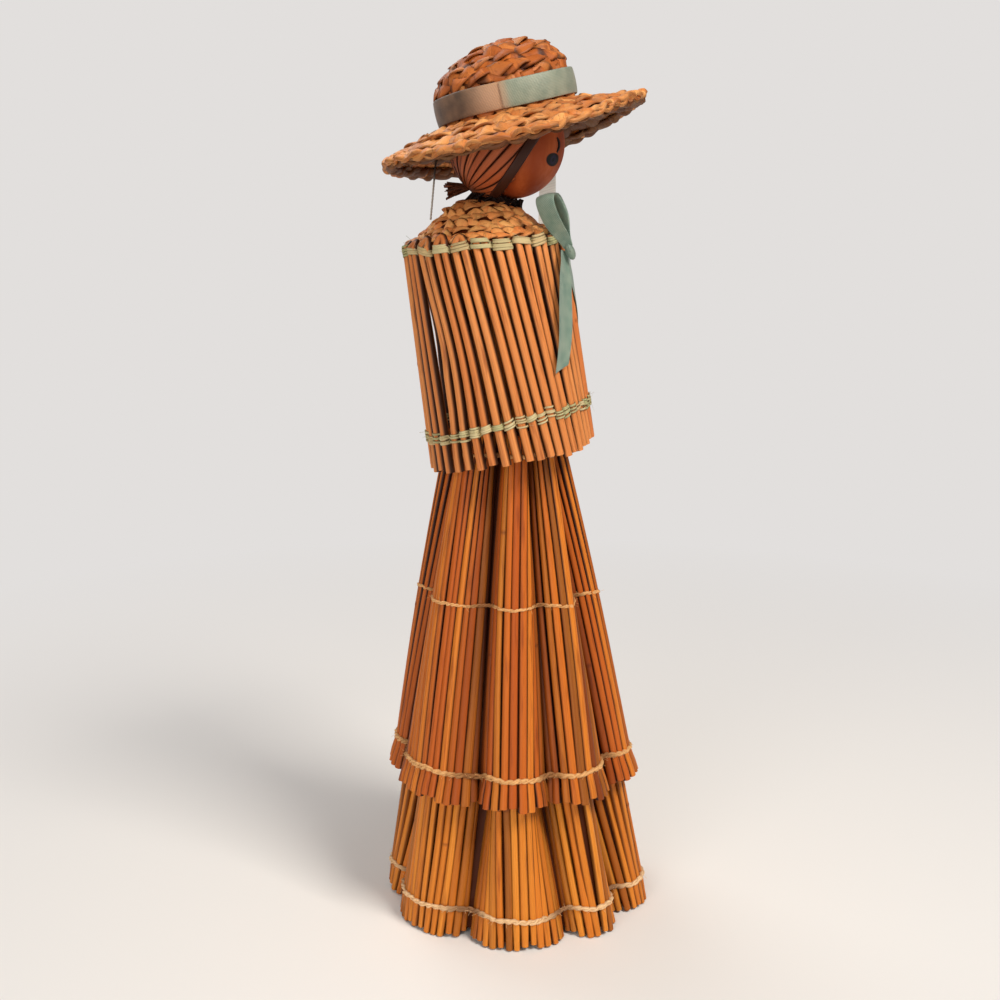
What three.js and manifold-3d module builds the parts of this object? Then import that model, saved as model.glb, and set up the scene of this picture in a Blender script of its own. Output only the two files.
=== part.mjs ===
// A straw doll in a plaited hat, a straw cape and a skirt of two fluted tiers.
// Millimetres, +Z up. The doll faces -Y, and the origin lies on the floor under the middle of its box.
import * as THREE from 'three';
import { mergeVertices } from 'three/addons/utils/BufferGeometryUtils.js';
import Module from 'manifold-3d';

const wasm = await Module();
wasm.setup();

// Fits
const CLEARANCE = 0.3; // between pieces that touch on the doll
const BORE_PLAY = 0.35; // between the neck peg and the head's bore
const WELD = 1e-4; // vertices closer than this are one

// Straw stalks
const STRAW_ROOT = 2.9; // diameter at the hem
const STRAW_TIP = 2.3; // diameter at the gathered end
const STRAW_PACKING = 0.9; // spacing of sewn stalks, in diameters
const STRAW_SHOULDER = 55; // degrees round a stalk's section, to its neighbour
const ARCH_CAP = 1.2; // height of a flute's round top, in half widths

// Skirt: flutes run round the doll from her right side over the front
const FLUTE_SHARES = [45, 36, 37, 39, 39, 39, 37, 38, 50];
const FIRST_VALLEY = -30; // degrees from her right side towards the front
const SKIRT_HEIGHT = 150;
const WAIST_RADIUS = 17.4;
const WAIST_PLEAT = 8;
const WAIST_SET_BACK = 4.4;
const UPPER_HEM_HEIGHT = 43;
const UPPER_HEM_RADIUS = 38.8;
const UPPER_HEM_PLEAT = 7;
const LOWER_HEM_RADIUS = 42.5;
const LOWER_HEM_PLEAT = 8;
const SIDE_FLATTENING = 3; // of the lower hem, at both sides
const TIER_OVERLAP = 15; // the lower tier reaches this far up behind the upper one

// Sewing threads
const THREAD = 0.9;
const THREAD_SIDES = 4;
const WAIST_THREAD_DROP = 6; // below the top of the skirt
const MID_THREAD_HEIGHT = 101;
const HEM_THREAD_RISE = 9; // above each hem of the skirt, and of the cape at the back
const FRONT_THREAD_RISE = 13; // above the cape's hem at the front

// Torso and cape
const TORSO_LEAN = 7.9; // backwards
const TORSO_SET_BACK = 1.7; // of the axis at the cape's hem
const CAPE_HEM_HEIGHT = 141.2;
const TORSO_LENGTH = 63.8; // from the cape's hem to the yoke's rim, along the torso
const STEM_DEPTH = 18; // of the straw core below the cape's hem
const STEM_SIDES = 14;
const FRONT_LOCKS = 11;
const BACK_LOCKS = 2;
const LOCK_STALKS = 4; // two stalks folded in half
const FOLD_ROUND = 0.9; // height of the rounded folds
const SLIT = 3; // degrees, at both back corners
const CAPE_SWEEP = 18; // degrees that the stalks at the sides run forwards on their way down
const CAPE_HEM_DEPTH = 23.6; // semi-axes of the ring of stalks at the hem
const CAPE_HEM_BREADTH = 26.7;
const CAPE_SIDE_RISE = 3;
const FOLD_DROP = 0.4; // from the rim's outer edge to the folds
const CAPE_TOP_THREAD_DROP = 1.4; // below the folds

// Plait, used for the yoke and the hat
const PLAIT = 1.7; // thickness
const PLAIT_ROW = 5; // width
const PLAIT_RIDGE = 0.2; // along the middle of a row
const PLAIT_LUMP = 0.3; // of every other straw that crosses it
const STEPS_PER_ROW = 3;
const LINING_STEPS_PER_ROW = 1;

// Yoke
const YOKE_DEPTH = 19.8; // semi-axes of its rim
const YOKE_BREADTH = 22;
const YOKE_RISE = 9.4;
const YOKE_LEAN = 3;
const YOKE_SEGMENTS = 29;

// Neck and head
const NECK_SET_FORWARD = 4.2; // from the middle of the yoke
const NECK_LEAN = 10; // forwards
const NECK_GAP = 1.6; // from the yoke's top to the head
const PEG = 4; // diameter
const PEG_SIDES = 12;
const PEG_DEPTH = 9; // below the yoke's top
const PEG_REACH = 7.4; // above the head's centre
const HEAD = 29.6; // diameter
const HEAD_SEGMENTS = 20;

// Hair of flat straw strips, gathered in a tail at the nape
const HAIR = 0.9;
const HAIR_GROOVE = 0.4;
const HAIR_STRIPS = 10;
const HAIRLINE_ADVANCE = 2.9; // in front of the head's centre
const HAIRLINE_TILT = 23;
const NAPE_ANGLE = 58; // below the horizontal, at the back of the head
const TAIL_LENGTH = 7.5;
const TAIL_DROOP = 20;
const TAIL = 3.6; // diameter
const TAIL_SIDES = 8;

// Hat
const HAT_LEAN = 13.4; // backwards
const HAT_SET_FORWARD = 1; // from the head's centre, square to the neck
const HAT_SET_UP = 4.3;
const HAT_EASE = 0.95; // between the hair and the crown
const HAT_SEGMENTS = 37;
const CROWN_HEIGHT = 24.2;
const CROWN_ROUND = 11;
const BRIM_ROOT_HEIGHT = 4;
const BRIM_ROOT_ROUND = 1;
const BRIM_RADIUS = 38.9;
const BRIM_SAG = 6.7; // at both sides of the brim
const BRIM_LIFT = 3.5; // of her right side, and drop of the left
const BRIM_CURL = 2.4; // up at the front and down at the back
const RIBBON = 0.5; // thickness
const BAND_WIDTH = 7.2;
const BAND_RISE = 0.3; // above the brim's root

// Bow and ties
const RIBBON_WIDTH = 6;
const KNOT_WIDTH = 5;
const KNOT_DEPTH = 3.6;
const KNOT_HEIGHT = 5.4;
const KNOT_SEGMENTS = 10;
const LOOP_LENGTH = 14;
const LOOP_SWELL = 3.4;
const LOOP_ANGLE = 62; // above the horizontal
const LOOP_PINCH = 2; // length of the loop's closed end at the knot
const LOOP_CURVE_STEPS = 6;
const BOW_LEAN = 20; // backwards
const BOW_BEARING = 33; // degrees from the front, on her right
const BOW_TURN = 17; // degrees that it looks to her right
const BOW_DROP = 4.6; // of the knot, below the folds
const BOW_TAIL_DROP = 38; // from the folds
const RIGHT_TAIL_SWEEP = 24; // degrees round the cape, from the knot
const LEFT_TAIL_SWEEP = 46;
const TAIL_STEPS = 8;
const TIE = 0.8; // diameter of the back tie
const TIE_SIDES = 8;
const TAPE_WIDTH = 5.5; // of the front tie
const TAPE = 0.5;
const BACK_TIE_RADIUS = 22; // on the brim
const BACK_TIE_BEARING = 196; // degrees from the front
const BACK_TIE_FOOT = 14.2; // from the middle of the yoke
const FRONT_TIE_RADIUS = 23; // on the brim
const FRONT_TIE_BEARING = -57;
const FRONT_TIE_FOOT = 18.3; // from the middle of the yoke
const FRONT_TIE_FOOT_BEARING = -15;

const finishes = {
  straw: { color: 0xcf8a42, roughness: 0.6 },
  deepStraw: { color: 0xb8702f, roughness: 0.6 },
  plait: { color: 0xc98a52, roughness: 0.7 },
  thread: { color: 0xd9b27a, roughness: 0.8 },
  greenThread: { color: 0xaaa97c, roughness: 0.8 },
  ribbon: { color: 0x6f9a86, roughness: 0.45 },
  wood: { color: 0x9a5a2c, roughness: 0.55 },
  hair: { color: 0x9c5a2e, roughness: 0.6 },
  tape: { color: 0xd8d2c2, roughness: 0.8 },
};

const radians = THREE.MathUtils.degToRad;
const doll = new THREE.Group();

function addMesh(parent, name, geometry, finish) {
  const mesh = new THREE.Mesh(geometry, new THREE.MeshStandardMaterial({ ...finish, metalness: 0 }));
  mesh.name = name;
  parent.add(mesh);
  return mesh;
}

// Only positions, each corner once, and no triangle without area
function welded(geometry) {
  const bare = new THREE.BufferGeometry();
  bare.setAttribute('position', geometry.attributes.position.clone());
  bare.setIndex(geometry.index ? geometry.index.clone() : null);
  const merged = mergeVertices(bare, WELD);
  const corners = merged.index.array;
  const kept = [];
  for (let i = 0; i < corners.length; i += 3) {
    const [a, b, c] = corners.slice(i, i + 3);
    if (a !== b && b !== c && c !== a) kept.push(a, b, c);
  }
  merged.setIndex(kept);
  return merged;
}

function solidOf(geometry) {
  const clean = welded(geometry);
  return new wasm.Manifold(new wasm.Mesh({
    numProp: 3,
    vertProperties: new Float32Array(clean.attributes.position.array),
    triVerts: new Uint32Array(clean.index.array),
  }));
}

function geometryOf(solid) {
  const mesh = solid.getMesh();
  const geometry = new THREE.BufferGeometry();
  geometry.setAttribute('position', new THREE.BufferAttribute(mesh.vertProperties, 3));
  geometry.setIndex(new THREE.BufferAttribute(mesh.triVerts, 1));
  geometry.computeVertexNormals();
  return geometry;
}

// The outside and the inside of stalks sewn side by side, seen from above and listed counter-clockwise
function sheetOutline({ centres, diameter }) {
  const outside = [];
  const inside = [];
  centres.forEach((centre, i) => {
    const { along, outward } = sheetSides(centres, i);
    const corner = (degrees, side) => centre.clone()
      .addScaledVector(outward, (side * Math.cos(radians(degrees)) * diameter) / 2)
      .addScaledVector(along, (Math.sin(radians(degrees)) * diameter) / 2);
    outside.push(corner(-STRAW_SHOULDER, 1), corner(0, 1), corner(STRAW_SHOULDER, 1));
    inside.unshift(corner(0, -1));
  });
  return [...outside, ...inside];
}

// The level directions along a row of stalks and out of it
function sheetSides(centres, i) {
  const before = centres[Math.max(i - 1, 0)];
  const after = centres[Math.min(i + 1, centres.length - 1)];
  const along = new THREE.Vector3(after.x - before.x, after.y - before.y, 0).normalize();
  return { along, outward: new THREE.Vector3(along.y, -along.x, 0) };
}

// A sheet of stalks: the outline of their sections, lofted from the foot through each level
function strawSheet(levels) {
  const outlines = levels.map(sheetOutline);
  const count = outlines[0].length;
  const corners = outlines.flat().flatMap((corner) => corner.toArray());
  const triangles = [];
  for (let k = 0; k < levels.length - 1; k++) {
    for (let i = 0; i < count; i++) {
      const a = k * count + i;
      const b = k * count + ((i + 1) % count);
      triangles.push(a, b, b + count, a, b + count, a + count);
    }
  }
  const capOf = (outline) => {
    const flat = outline.map(({ x, y }) => new THREE.Vector2(x, y));
    return THREE.ShapeUtils.triangulateShape(flat, []);
  };
  const top = (levels.length - 1) * count;
  capOf(outlines[0]).forEach(([a, b, c]) => triangles.push(a, c, b));
  capOf(outlines.at(-1)).forEach(([a, b, c]) => triangles.push(top + a, top + b, top + c));
  const geometry = new THREE.BufferGeometry();
  geometry.setAttribute('position', new THREE.Float32BufferAttribute(corners, 3));
  geometry.setIndex(triangles);
  return welded(geometry);
}

// A rod between two points
function rod(from, to, diameter, endDiameter, sides) {
  const length = from.distanceTo(to);
  const geometry = new THREE.CylinderGeometry(endDiameter / 2, diameter / 2, length, sides);
  geometry.translate(0, length / 2, 0);
  const along = to.clone().sub(from).normalize();
  const turn = new THREE.Quaternion().setFromUnitVectors(new THREE.Vector3(0, 1, 0), along);
  geometry.applyQuaternion(turn);
  geometry.translate(from.x, from.y, from.z);
  return geometry;
}

// A thread sewn right round: a small section carried over a ring of points
function threadRing(points, middle) {
  const geometry = new THREE.TorusGeometry(1, THREAD / 2, THREAD_SIDES, points.length);
  const corner = geometry.attributes.position;
  for (let i = 0; i < corner.count; i++) {
    const point = points[(i % (points.length + 1)) % points.length];
    const outward = new THREE.Vector2(point.x - middle.x, point.y - middle.y).normalize();
    const offset = Math.hypot(corner.getX(i), corner.getY(i)) - 1;
    const x = point.x + outward.x * offset;
    const y = point.y + outward.y * offset;
    corner.setXYZ(i, x, y, point.z + corner.getZ(i));
  }
  return welded(geometry);
}

// A flat ribbon through stations, each a place with the side its face looks to
function ribbonStrip(stations, width, thickness) {
  const corners = [];
  const triangles = [];
  stations.forEach(({ place, face }, i) => {
    const before = stations[Math.max(i - 1, 0)].place;
    const after = stations[Math.min(i + 1, stations.length - 1)].place;
    const along = after.clone().sub(before).normalize();
    const across = along.clone().cross(face).normalize();
    for (const [side, lift] of [[-1, 0], [1, 0], [1, 1], [-1, 1]]) {
      const corner = place.clone().addScaledVector(across, (side * width) / 2);
      corners.push(...corner.addScaledVector(face, lift * thickness).toArray());
    }
  });
  const ring = 4;
  for (let i = 0; i < stations.length - 1; i++) {
    for (let k = 0; k < ring; k++) {
      const a = i * ring + k;
      const b = i * ring + ((k + 1) % ring);
      triangles.push(a, b + ring, b, a, a + ring, b + ring);
    }
  }
  const last = (stations.length - 1) * ring;
  triangles.push(0, 1, 2, 0, 2, 3, last, last + 2, last + 1, last, last + 3, last + 2);
  const geometry = new THREE.BufferGeometry();
  geometry.setAttribute('position', new THREE.Float32BufferAttribute(corners, 3));
  geometry.setIndex(triangles);
  return geometry;
}

// An odd count of segments sets the lumps in brick order, from row to row
function plaitSwell(row, segment, segments) {
  const crest = Math.cos(2 * Math.PI * row);
  const straws = segment + segments * Math.round(row);
  const lump = straws % 2 === 0 ? PLAIT_LUMP : -PLAIT_LUMP;
  return PLAIT_RIDGE * crest + lump * Math.max(crest, 0);
}

// A shell of plait sewn round in a spiral, over a profile that starts on the axis
function plaitShell(profile, bend, segments) {
  const rows = Math.round(profile.getLength() / PLAIT_ROW);
  const outerSteps = rows * STEPS_PER_ROW;
  const innerSteps = rows * LINING_STEPS_PER_ROW;
  const outline = [];
  const addPoint = (share, side) => {
    const tangent = profile.getTangentAt(share);
    const normal = new THREE.Vector2(-tangent.y, tangent.x).multiplyScalar(side);
    const point = profile.getPointAt(share).addScaledVector(normal, PLAIT / 2);
    if (share === 0) point.x = 0;
    outline.push({ point, normal, share, outside: side > 0 });
  };
  for (let i = innerSteps; i >= 0; i--) addPoint(1 - (innerSteps - i) / innerSteps, -1);
  outline.reverse();
  for (let i = outerSteps; i >= 0; i--) addPoint(i / outerSteps, 1);
  const geometry = new THREE.LatheGeometry(outline.map((entry) => entry.point), segments);
  const corner = geometry.attributes.position;
  for (let i = 0; i < corner.count; i++) {
    const { point, normal, share, outside } = outline[i % outline.length];
    const segment = Math.floor(i / outline.length);
    const turn = segment / segments;
    const row = share * rows;
    const swell = outside ? Math.min(row, 1) * plaitSwell(row - turn, segment, segments) : 0;
    const radius = point.x + normal.x * swell;
    const angle = 2 * Math.PI * turn;
    const height = point.y + normal.y * swell + bend(radius, -angle);
    corner.setXYZ(i, radius * Math.sin(angle), -radius * Math.cos(angle), height);
  }
  return geometryOf(solidOf(geometry));
}

// Skirt

const fluteTotal = FLUTE_SHARES.reduce((sum, share) => sum + share);
const flutes = [];
let valleyBearing = radians(FIRST_VALLEY);
for (const share of FLUTE_SHARES) {
  const span = (2 * Math.PI * share) / fluteTotal;
  flutes.push({ span, bearing: valleyBearing + span / 2 });
  valleyBearing += span;
}

function skirtMiddle(height) {
  return new THREE.Vector3(0, (WAIST_SET_BACK * height) / SKIRT_HEIGHT, height);
}

// Half the width that an arch can take before it meets the next flute
function openHalf(tip, pleat, span, diameter) {
  return (tip - pleat) * Math.tan(span / 2) - (diameter + CLEARANCE) / 2 / Math.cos(span / 2);
}

// The depth at which an arch of that half width meets the next flute
function closedPleat(tip, half, span, diameter) {
  return tip - (half + (diameter + CLEARANCE) / 2 / Math.cos(span / 2)) / Math.tan(span / 2);
}

function level(height, tip, pleat, span, diameter) {
  return { height, tip, pleat, half: openHalf(tip, pleat, span, diameter), diameter };
}

function valueBetween(foot, top, height, key) {
  return THREE.MathUtils.mapLinear(height, foot.height, top.height, foot[key], top[key]);
}

function upperTier(span) {
  const hemTip = UPPER_HEM_RADIUS - STRAW_ROOT / 2;
  const waistTip = WAIST_RADIUS - STRAW_TIP / 2;
  const foot = level(UPPER_HEM_HEIGHT, hemTip, UPPER_HEM_PLEAT, span, STRAW_ROOT);
  const top = level(SKIRT_HEIGHT, waistTip, WAIST_PLEAT, span, STRAW_TIP);
  return { foot, top };
}

// The lower tier passes inside the upper hem and keeps inside the upper tier to its own top
function lowerTier(span) {
  const upper = upperTier(span);
  const height = UPPER_HEM_HEIGHT + TIER_OVERLAP;
  const hemTip = LOWER_HEM_RADIUS - STRAW_ROOT / 2;
  const foot = level(0, hemTip, LOWER_HEM_PLEAT, span, STRAW_ROOT);
  const nest = STRAW_ROOT + CLEARANCE;
  const tucked = (key) => {
    const atHem = upper.foot[key] - nest;
    const straightOn = atHem + ((atHem - foot[key]) * TIER_OVERLAP) / UPPER_HEM_HEIGHT;
    return Math.min(valueBetween(upper.foot, upper.top, height, key) - nest, straightOn);
  };
  const tip = tucked('tip');
  const half = tucked('half');
  const pleat = closedPleat(tip, half, span, STRAW_TIP);
  return { foot, top: { height, tip, half, pleat, diameter: STRAW_TIP } };
}

// How far both sides are drawn in, which is most at the lower hem
function narrowing(height) {
  return 1 - (SIDE_FLATTENING / LOWER_HEM_RADIUS) * (1 - height / SKIRT_HEIGHT);
}

function fromFlute(bearing, height, across, outward) {
  const sine = Math.sin(bearing);
  const cosine = Math.cos(bearing);
  const x = -cosine * outward + sine * across;
  const y = -sine * outward - cosine * across;
  return skirtMiddle(height).add(new THREE.Vector3(narrowing(height) * x, y, 0));
}

// One flute seen from above, with straight flanks where it is deep and narrow
function archCurve({ tip, pleat, half }) {
  const cap = Math.min(pleat, ARCH_CAP * half);
  const arch = new THREE.Path();
  arch.moveTo(-half, tip - pleat);
  arch.lineTo(-half, tip - cap);
  arch.absellipse(0, tip - cap, half, cap, Math.PI, 0, true);
  arch.lineTo(half, tip - pleat);
  return arch;
}

function fluteLevels({ foot, top }, bearing) {
  const gaps = Math.ceil(archCurve(foot).getLength() / (STRAW_PACKING * foot.diameter));
  return [foot, top].map((end) => {
    const points = archCurve(end).getSpacedPoints(gaps);
    const centres = points.map(({ x, y }) => fromFlute(bearing, end.height, x, y));
    return { centres, diameter: end.diameter };
  });
}

flutes.forEach(({ span, bearing }, i) => {
  const upper = strawSheet(fluteLevels(upperTier(span), bearing));
  const lower = strawSheet(fluteLevels(lowerTier(span), bearing));
  addMesh(doll, `upper_flute_${i + 1}`, upper, finishes.straw);
  addMesh(doll, `lower_flute_${i + 1}`, lower, finishes.deepStraw);
});

// A thread lies over the stalks of each flute and bridges the valleys
function skirtThread(tierOf, height) {
  const middle = skirtMiddle(height);
  const points = [];
  for (const { span, bearing } of flutes) {
    const tier = tierOf(span);
    const [foot, top] = fluteLevels(tier, bearing);
    const share = (height - tier.foot.height) / (tier.top.height - tier.foot.height);
    const centres = foot.centres.map((centre, i) => centre.clone().lerp(top.centres[i], share));
    const lift = THREE.MathUtils.lerp(foot.diameter, top.diameter, share) / 2 + CLEARANCE + THREAD / 2;
    centres.forEach((centre, i) => {
      const point = centre.clone().addScaledVector(sheetSides(centres, i).outward, lift);
      const reach = point.clone().sub(middle);
      const turn = Math.atan2(-reach.y, -reach.x / narrowing(height)) - bearing;
      const fromMiddle = Math.abs(Math.atan2(Math.sin(turn), Math.cos(turn)));
      if (fromMiddle < span / 2) points.push(point);
    });
  }
  return threadRing(points, middle);
}

const waistThreadHeight = SKIRT_HEIGHT - WAIST_THREAD_DROP;
const upperThreadHeight = UPPER_HEM_HEIGHT + HEM_THREAD_RISE;
addMesh(doll, 'waist_thread', skirtThread(upperTier, waistThreadHeight), finishes.thread);
addMesh(doll, 'skirt_mid_thread', skirtThread(upperTier, MID_THREAD_HEIGHT), finishes.thread);
addMesh(doll, 'upper_hem_thread', skirtThread(upperTier, upperThreadHeight), finishes.thread);
addMesh(doll, 'lower_hem_thread', skirtThread(lowerTier, HEM_THREAD_RISE), finishes.thread);

// Torso, which leans back from the cape's hem

const torso = new THREE.Group();
torso.position.set(0, TORSO_SET_BACK, CAPE_HEM_HEIGHT);
torso.rotation.x = -radians(TORSO_LEAN);
doll.add(torso);

const yoke = new THREE.Group();
yoke.position.z = TORSO_LENGTH;
yoke.rotation.x = radians(TORSO_LEAN - YOKE_LEAN);
torso.add(yoke);

// The yoke is a cap of a ball, broader than it is deep
const yokeBall = (YOKE_DEPTH ** 2 + YOKE_RISE ** 2) / (2 * YOKE_RISE);
const yokeDome = (radius) => YOKE_RISE - yokeBall + Math.sqrt(yokeBall ** 2 - radius ** 2);
const yokeStretch = YOKE_BREADTH / YOKE_DEPTH;
const plaitOutside = PLAIT / 2 + PLAIT_RIDGE + PLAIT_LUMP;
const rimAngle = Math.asin(YOKE_DEPTH / yokeBall);
const rimEdge = YOKE_DEPTH + plaitOutside * Math.sin(rimAngle);
const rimEdgeHeight = plaitOutside * Math.cos(rimAngle);

function yokeShell() {
  const profile = new THREE.Path();
  profile.absarc(0, YOKE_RISE - yokeBall, yokeBall, Math.PI / 2, Math.PI / 2 - rimAngle, true);
  const geometry = plaitShell(profile, () => 0, YOKE_SEGMENTS);
  geometry.scale(yokeStretch, 1, 1);
  return geometry;
}

const neck = new THREE.Group();
neck.position.set(0, -NECK_SET_FORWARD, yokeDome(NECK_SET_FORWARD) + plaitOutside);
neck.rotation.x = radians(NECK_LEAN + YOKE_LEAN);
yoke.add(neck);
doll.updateMatrixWorld(true);

// The solid of a geometry in one group, placed in the frame of another
function solidInFrame(geometry, from, to) {
  const placed = geometry.clone().applyMatrix4(from.matrixWorld);
  return solidOf(placed.applyMatrix4(to.matrixWorld.clone().invert()));
}

function neckRod(diameter, bottom, top) {
  const from = new THREE.Vector3(0, 0, bottom);
  return rod(from, new THREE.Vector3(0, 0, top), diameter, diameter, PEG_SIDES);
}

const headCentre = NECK_GAP + HEAD / 2;
const pegTop = headCentre + PEG_REACH;
const pegHole = neckRod(PEG + 2 * BORE_PLAY, -PEG_DEPTH - CLEARANCE, pegTop);
addMesh(neck, 'neck_peg', neckRod(PEG, -PEG_DEPTH, pegTop), finishes.wood);

const yokeSolid = solidOf(yokeShell()).subtract(solidInFrame(pegHole, neck, yoke));
addMesh(yoke, 'yoke', geometryOf(yokeSolid), finishes.plait);

// The core is a tied bundle of straw that fills the waist and carries the yoke
function torsoCore() {
  const valley = WAIST_RADIUS - STRAW_TIP - WAIST_PLEAT;
  const waistShift = skirtMiddle(SKIRT_HEIGHT).y - TORSO_SET_BACK;
  const leanShift = (SKIRT_HEIGHT - CAPE_HEM_HEIGHT) * Math.tan(radians(TORSO_LEAN));
  const radius = valley - CLEARANCE - Math.abs(waistShift - leanShift);
  const top = TORSO_LENGTH + yokeDome(radius) - plaitOutside - CLEARANCE
    - radius * Math.sin(radians(TORSO_LEAN - YOKE_LEAN));
  const foot = new THREE.Vector3(0, 0, -STEM_DEPTH);
  const stem = rod(foot, new THREE.Vector3(0, 0, top), 2 * radius, 2 * radius, STEM_SIDES);
  return geometryOf(solidOf(stem).subtract(solidInFrame(pegHole, neck, torso)));
}

addMesh(torso, 'torso_core', torsoCore(), finishes.deepStraw);

// Cape: stalks folded in half over the yoke's rim, four legs to a lock

const foldReach = CLEARANCE + STRAW_TIP / 2;
const foldDepth = rimEdge + foldReach;
const foldBreadth = rimEdge * yokeStretch + foldReach;

function aroundCape(bearing, breadth, depth, height) {
  return new THREE.Vector3(-breadth * Math.sin(bearing), -depth * Math.cos(bearing), height);
}

// Bearings run from the front over her right side, and share from the folds to the hem
function capePoint(foldBearing, hemBearing, share) {
  const fold = aroundCape(foldBearing, foldBreadth, foldDepth, rimEdgeHeight - FOLD_DROP);
  fold.applyMatrix4(yoke.matrix);
  const hemRise = CAPE_SIDE_RISE * Math.sin(hemBearing) ** 2;
  const hem = aroundCape(hemBearing, CAPE_HEM_BREADTH, CAPE_HEM_DEPTH, hemRise);
  return fold.lerp(hem, share);
}

// Legs in a lock are drawn together at the folds and spread to the hem
function capeLock(bearing, pitch, hemBearingOf) {
  const hemStep = pitch / LOCK_STALKS;
  const foldStep = (STRAW_PACKING * STRAW_TIP) / foldDepth;
  const row = (share, lift) => Array.from({ length: LOCK_STALKS }, (_, i) => {
    const place = (LOCK_STALKS - 1) / 2 - i;
    const hemBearing = hemBearingOf(bearing + place * hemStep);
    const point = capePoint(bearing + place * foldStep, hemBearing, share);
    return point.setZ(point.z + lift);
  });
  const hem = { centres: row(1, 0), diameter: STRAW_ROOT };
  const shoulder = { centres: row(0, 0), diameter: STRAW_TIP };
  const fold = { centres: row(0, FOLD_ROUND), diameter: STRAW_TIP / 2 };
  return strawSheet([hem, shoulder, fold]);
}

const lockCount = FRONT_LOCKS + BACK_LOCKS;
const lockPitch = (2 * Math.PI - 2 * radians(SLIT)) / lockCount;
const sweptBearing = (bearing) => bearing - radians(CAPE_SWEEP) * Math.sin(bearing);
const hemCorner = sweptBearing((FRONT_LOCKS * lockPitch) / 2) + radians(SLIT);
const backSpread = (Math.PI - hemCorner) / ((BACK_LOCKS * lockPitch) / 2);
const spreadBearing = (bearing) => Math.PI + (bearing - Math.PI) * backSpread;
for (let i = 0; i < lockCount; i++) {
  const inFront = i < FRONT_LOCKS;
  const place = inFront ? i - (FRONT_LOCKS - 1) / 2 : i - FRONT_LOCKS - (BACK_LOCKS - 1) / 2;
  const bearing = (inFront ? 0 : Math.PI) + place * lockPitch;
  const lock = capeLock(bearing, lockPitch, inFront ? sweptBearing : spreadBearing);
  addMesh(torso, `cape_lock_${i + 1}`, lock, finishes.straw);
}

// A point on the cape's outside, and the way its face looks there
function capeFace(bearing, share, lift) {
  const face = aroundCape(bearing, 1, 1, 0);
  const radius = THREE.MathUtils.lerp(STRAW_TIP, STRAW_ROOT, share) / 2;
  return { place: capePoint(bearing, bearing, share).addScaledVector(face, radius + lift), face };
}

function capeThread(shareAt) {
  const points = [];
  const steps = lockCount * LOCK_STALKS;
  for (let i = 0; i < steps; i++) {
    const bearing = (-2 * Math.PI * i) / steps;
    points.push(capeFace(bearing, shareAt(bearing), CLEARANCE + THREAD / 2).place);
  }
  const middle = new THREE.Vector3();
  points.forEach((point) => middle.addScaledVector(point, 1 / steps));
  return threadRing(points, middle);
}

const topThreadShare = CAPE_TOP_THREAD_DROP / TORSO_LENGTH;
const hemThreadShare = (bearing) => {
  const rise = THREE.MathUtils.lerp(HEM_THREAD_RISE, FRONT_THREAD_RISE, (1 + Math.cos(bearing)) / 2);
  return 1 - rise / TORSO_LENGTH;
};
addMesh(torso, 'cape_top_thread', capeThread(() => topThreadShare), finishes.greenThread);
addMesh(torso, 'cape_hem_thread', capeThread(hemThreadShare), finishes.greenThread);

// Head, which turns on the neck peg

const head = new THREE.Group();
head.position.z = headCentre;
neck.add(head);
doll.updateMatrixWorld(true);

const bore = solidInFrame(neckRod(PEG + 2 * BORE_PLAY, -HEAD, 2 * HEAD), neck, head);
const ball = new THREE.SphereGeometry(HEAD / 2, HEAD_SEGMENTS, HEAD_SEGMENTS / 2);
addMesh(head, 'head', geometryOf(solidOf(ball).subtract(bore)), finishes.wood);

// The hair's facets, at their middles, keep the clearance to the head
const hairFacet = Math.cos(Math.PI / 2 / HAIR_STRIPS) ** 2;
const scalp = (HEAD / 2 + CLEARANCE) / hairFacet;
const hairOutside = scalp + HAIR;

// Strips lie side by side from the crown to the nape, where they are drawn into a tail
function hair() {
  const nape = new THREE.Vector3(0, Math.cos(radians(NAPE_ANGLE)), -Math.sin(radians(NAPE_ANGLE)));
  const up = new THREE.Vector3(0, 1, 0);
  const turn = new THREE.Quaternion().setFromUnitVectors(up, nape);
  const strips = new THREE.SphereGeometry(hairOutside, 2 * HAIR_STRIPS, HAIR_STRIPS);
  const corner = strips.attributes.position;
  const ring = 2 * HAIR_STRIPS + 1;
  for (let i = 0; i < corner.count; i++) {
    const groove = (i % ring) % 2 === 1 ? HAIR_GROOVE / hairOutside : 0;
    const point = new THREE.Vector3().fromBufferAttribute(corner, i);
    const nearPole = Math.abs(point.y) > hairOutside * Math.cos(Math.PI / HAIR_STRIPS / 2);
    point.multiplyScalar(nearPole ? 1 : 1 - groove);
    corner.setXYZ(i, point.x, point.y, point.z);
  }
  strips.applyQuaternion(turn);
  const root = nape.clone().multiplyScalar(hairOutside);
  const droop = radians(TAIL_DROOP);
  const tailRun = new THREE.Vector3(0, Math.cos(droop), -Math.sin(droop));
  const tip = root.clone().addScaledVector(tailRun, TAIL_LENGTH);
  const tail = rod(root, tip, TAIL / 2, TAIL, TAIL_SIDES);
  const inside = new THREE.SphereGeometry(scalp, 2 * HAIR_STRIPS, HAIR_STRIPS).applyQuaternion(turn);
  const face = new THREE.BoxGeometry(4 * HEAD, 4 * HEAD, 4 * HEAD);
  face.translate(0, -2 * HEAD - HAIRLINE_ADVANCE, 0);
  face.rotateX(radians(HAIRLINE_TILT));
  const whole = solidOf(strips).add(solidOf(tail));
  return geometryOf(whole.subtract(solidOf(inside)).subtract(solidOf(face)).subtract(bore));
}

addMesh(head, 'hair', hair(), finishes.hair);

// Hat, tied on the head

const hat = new THREE.Group();
hat.position.set(0, -HAT_SET_FORWARD, HAT_SET_UP);
hat.rotation.x = -radians(HAT_LEAN + NECK_LEAN);
head.add(hat);

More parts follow.
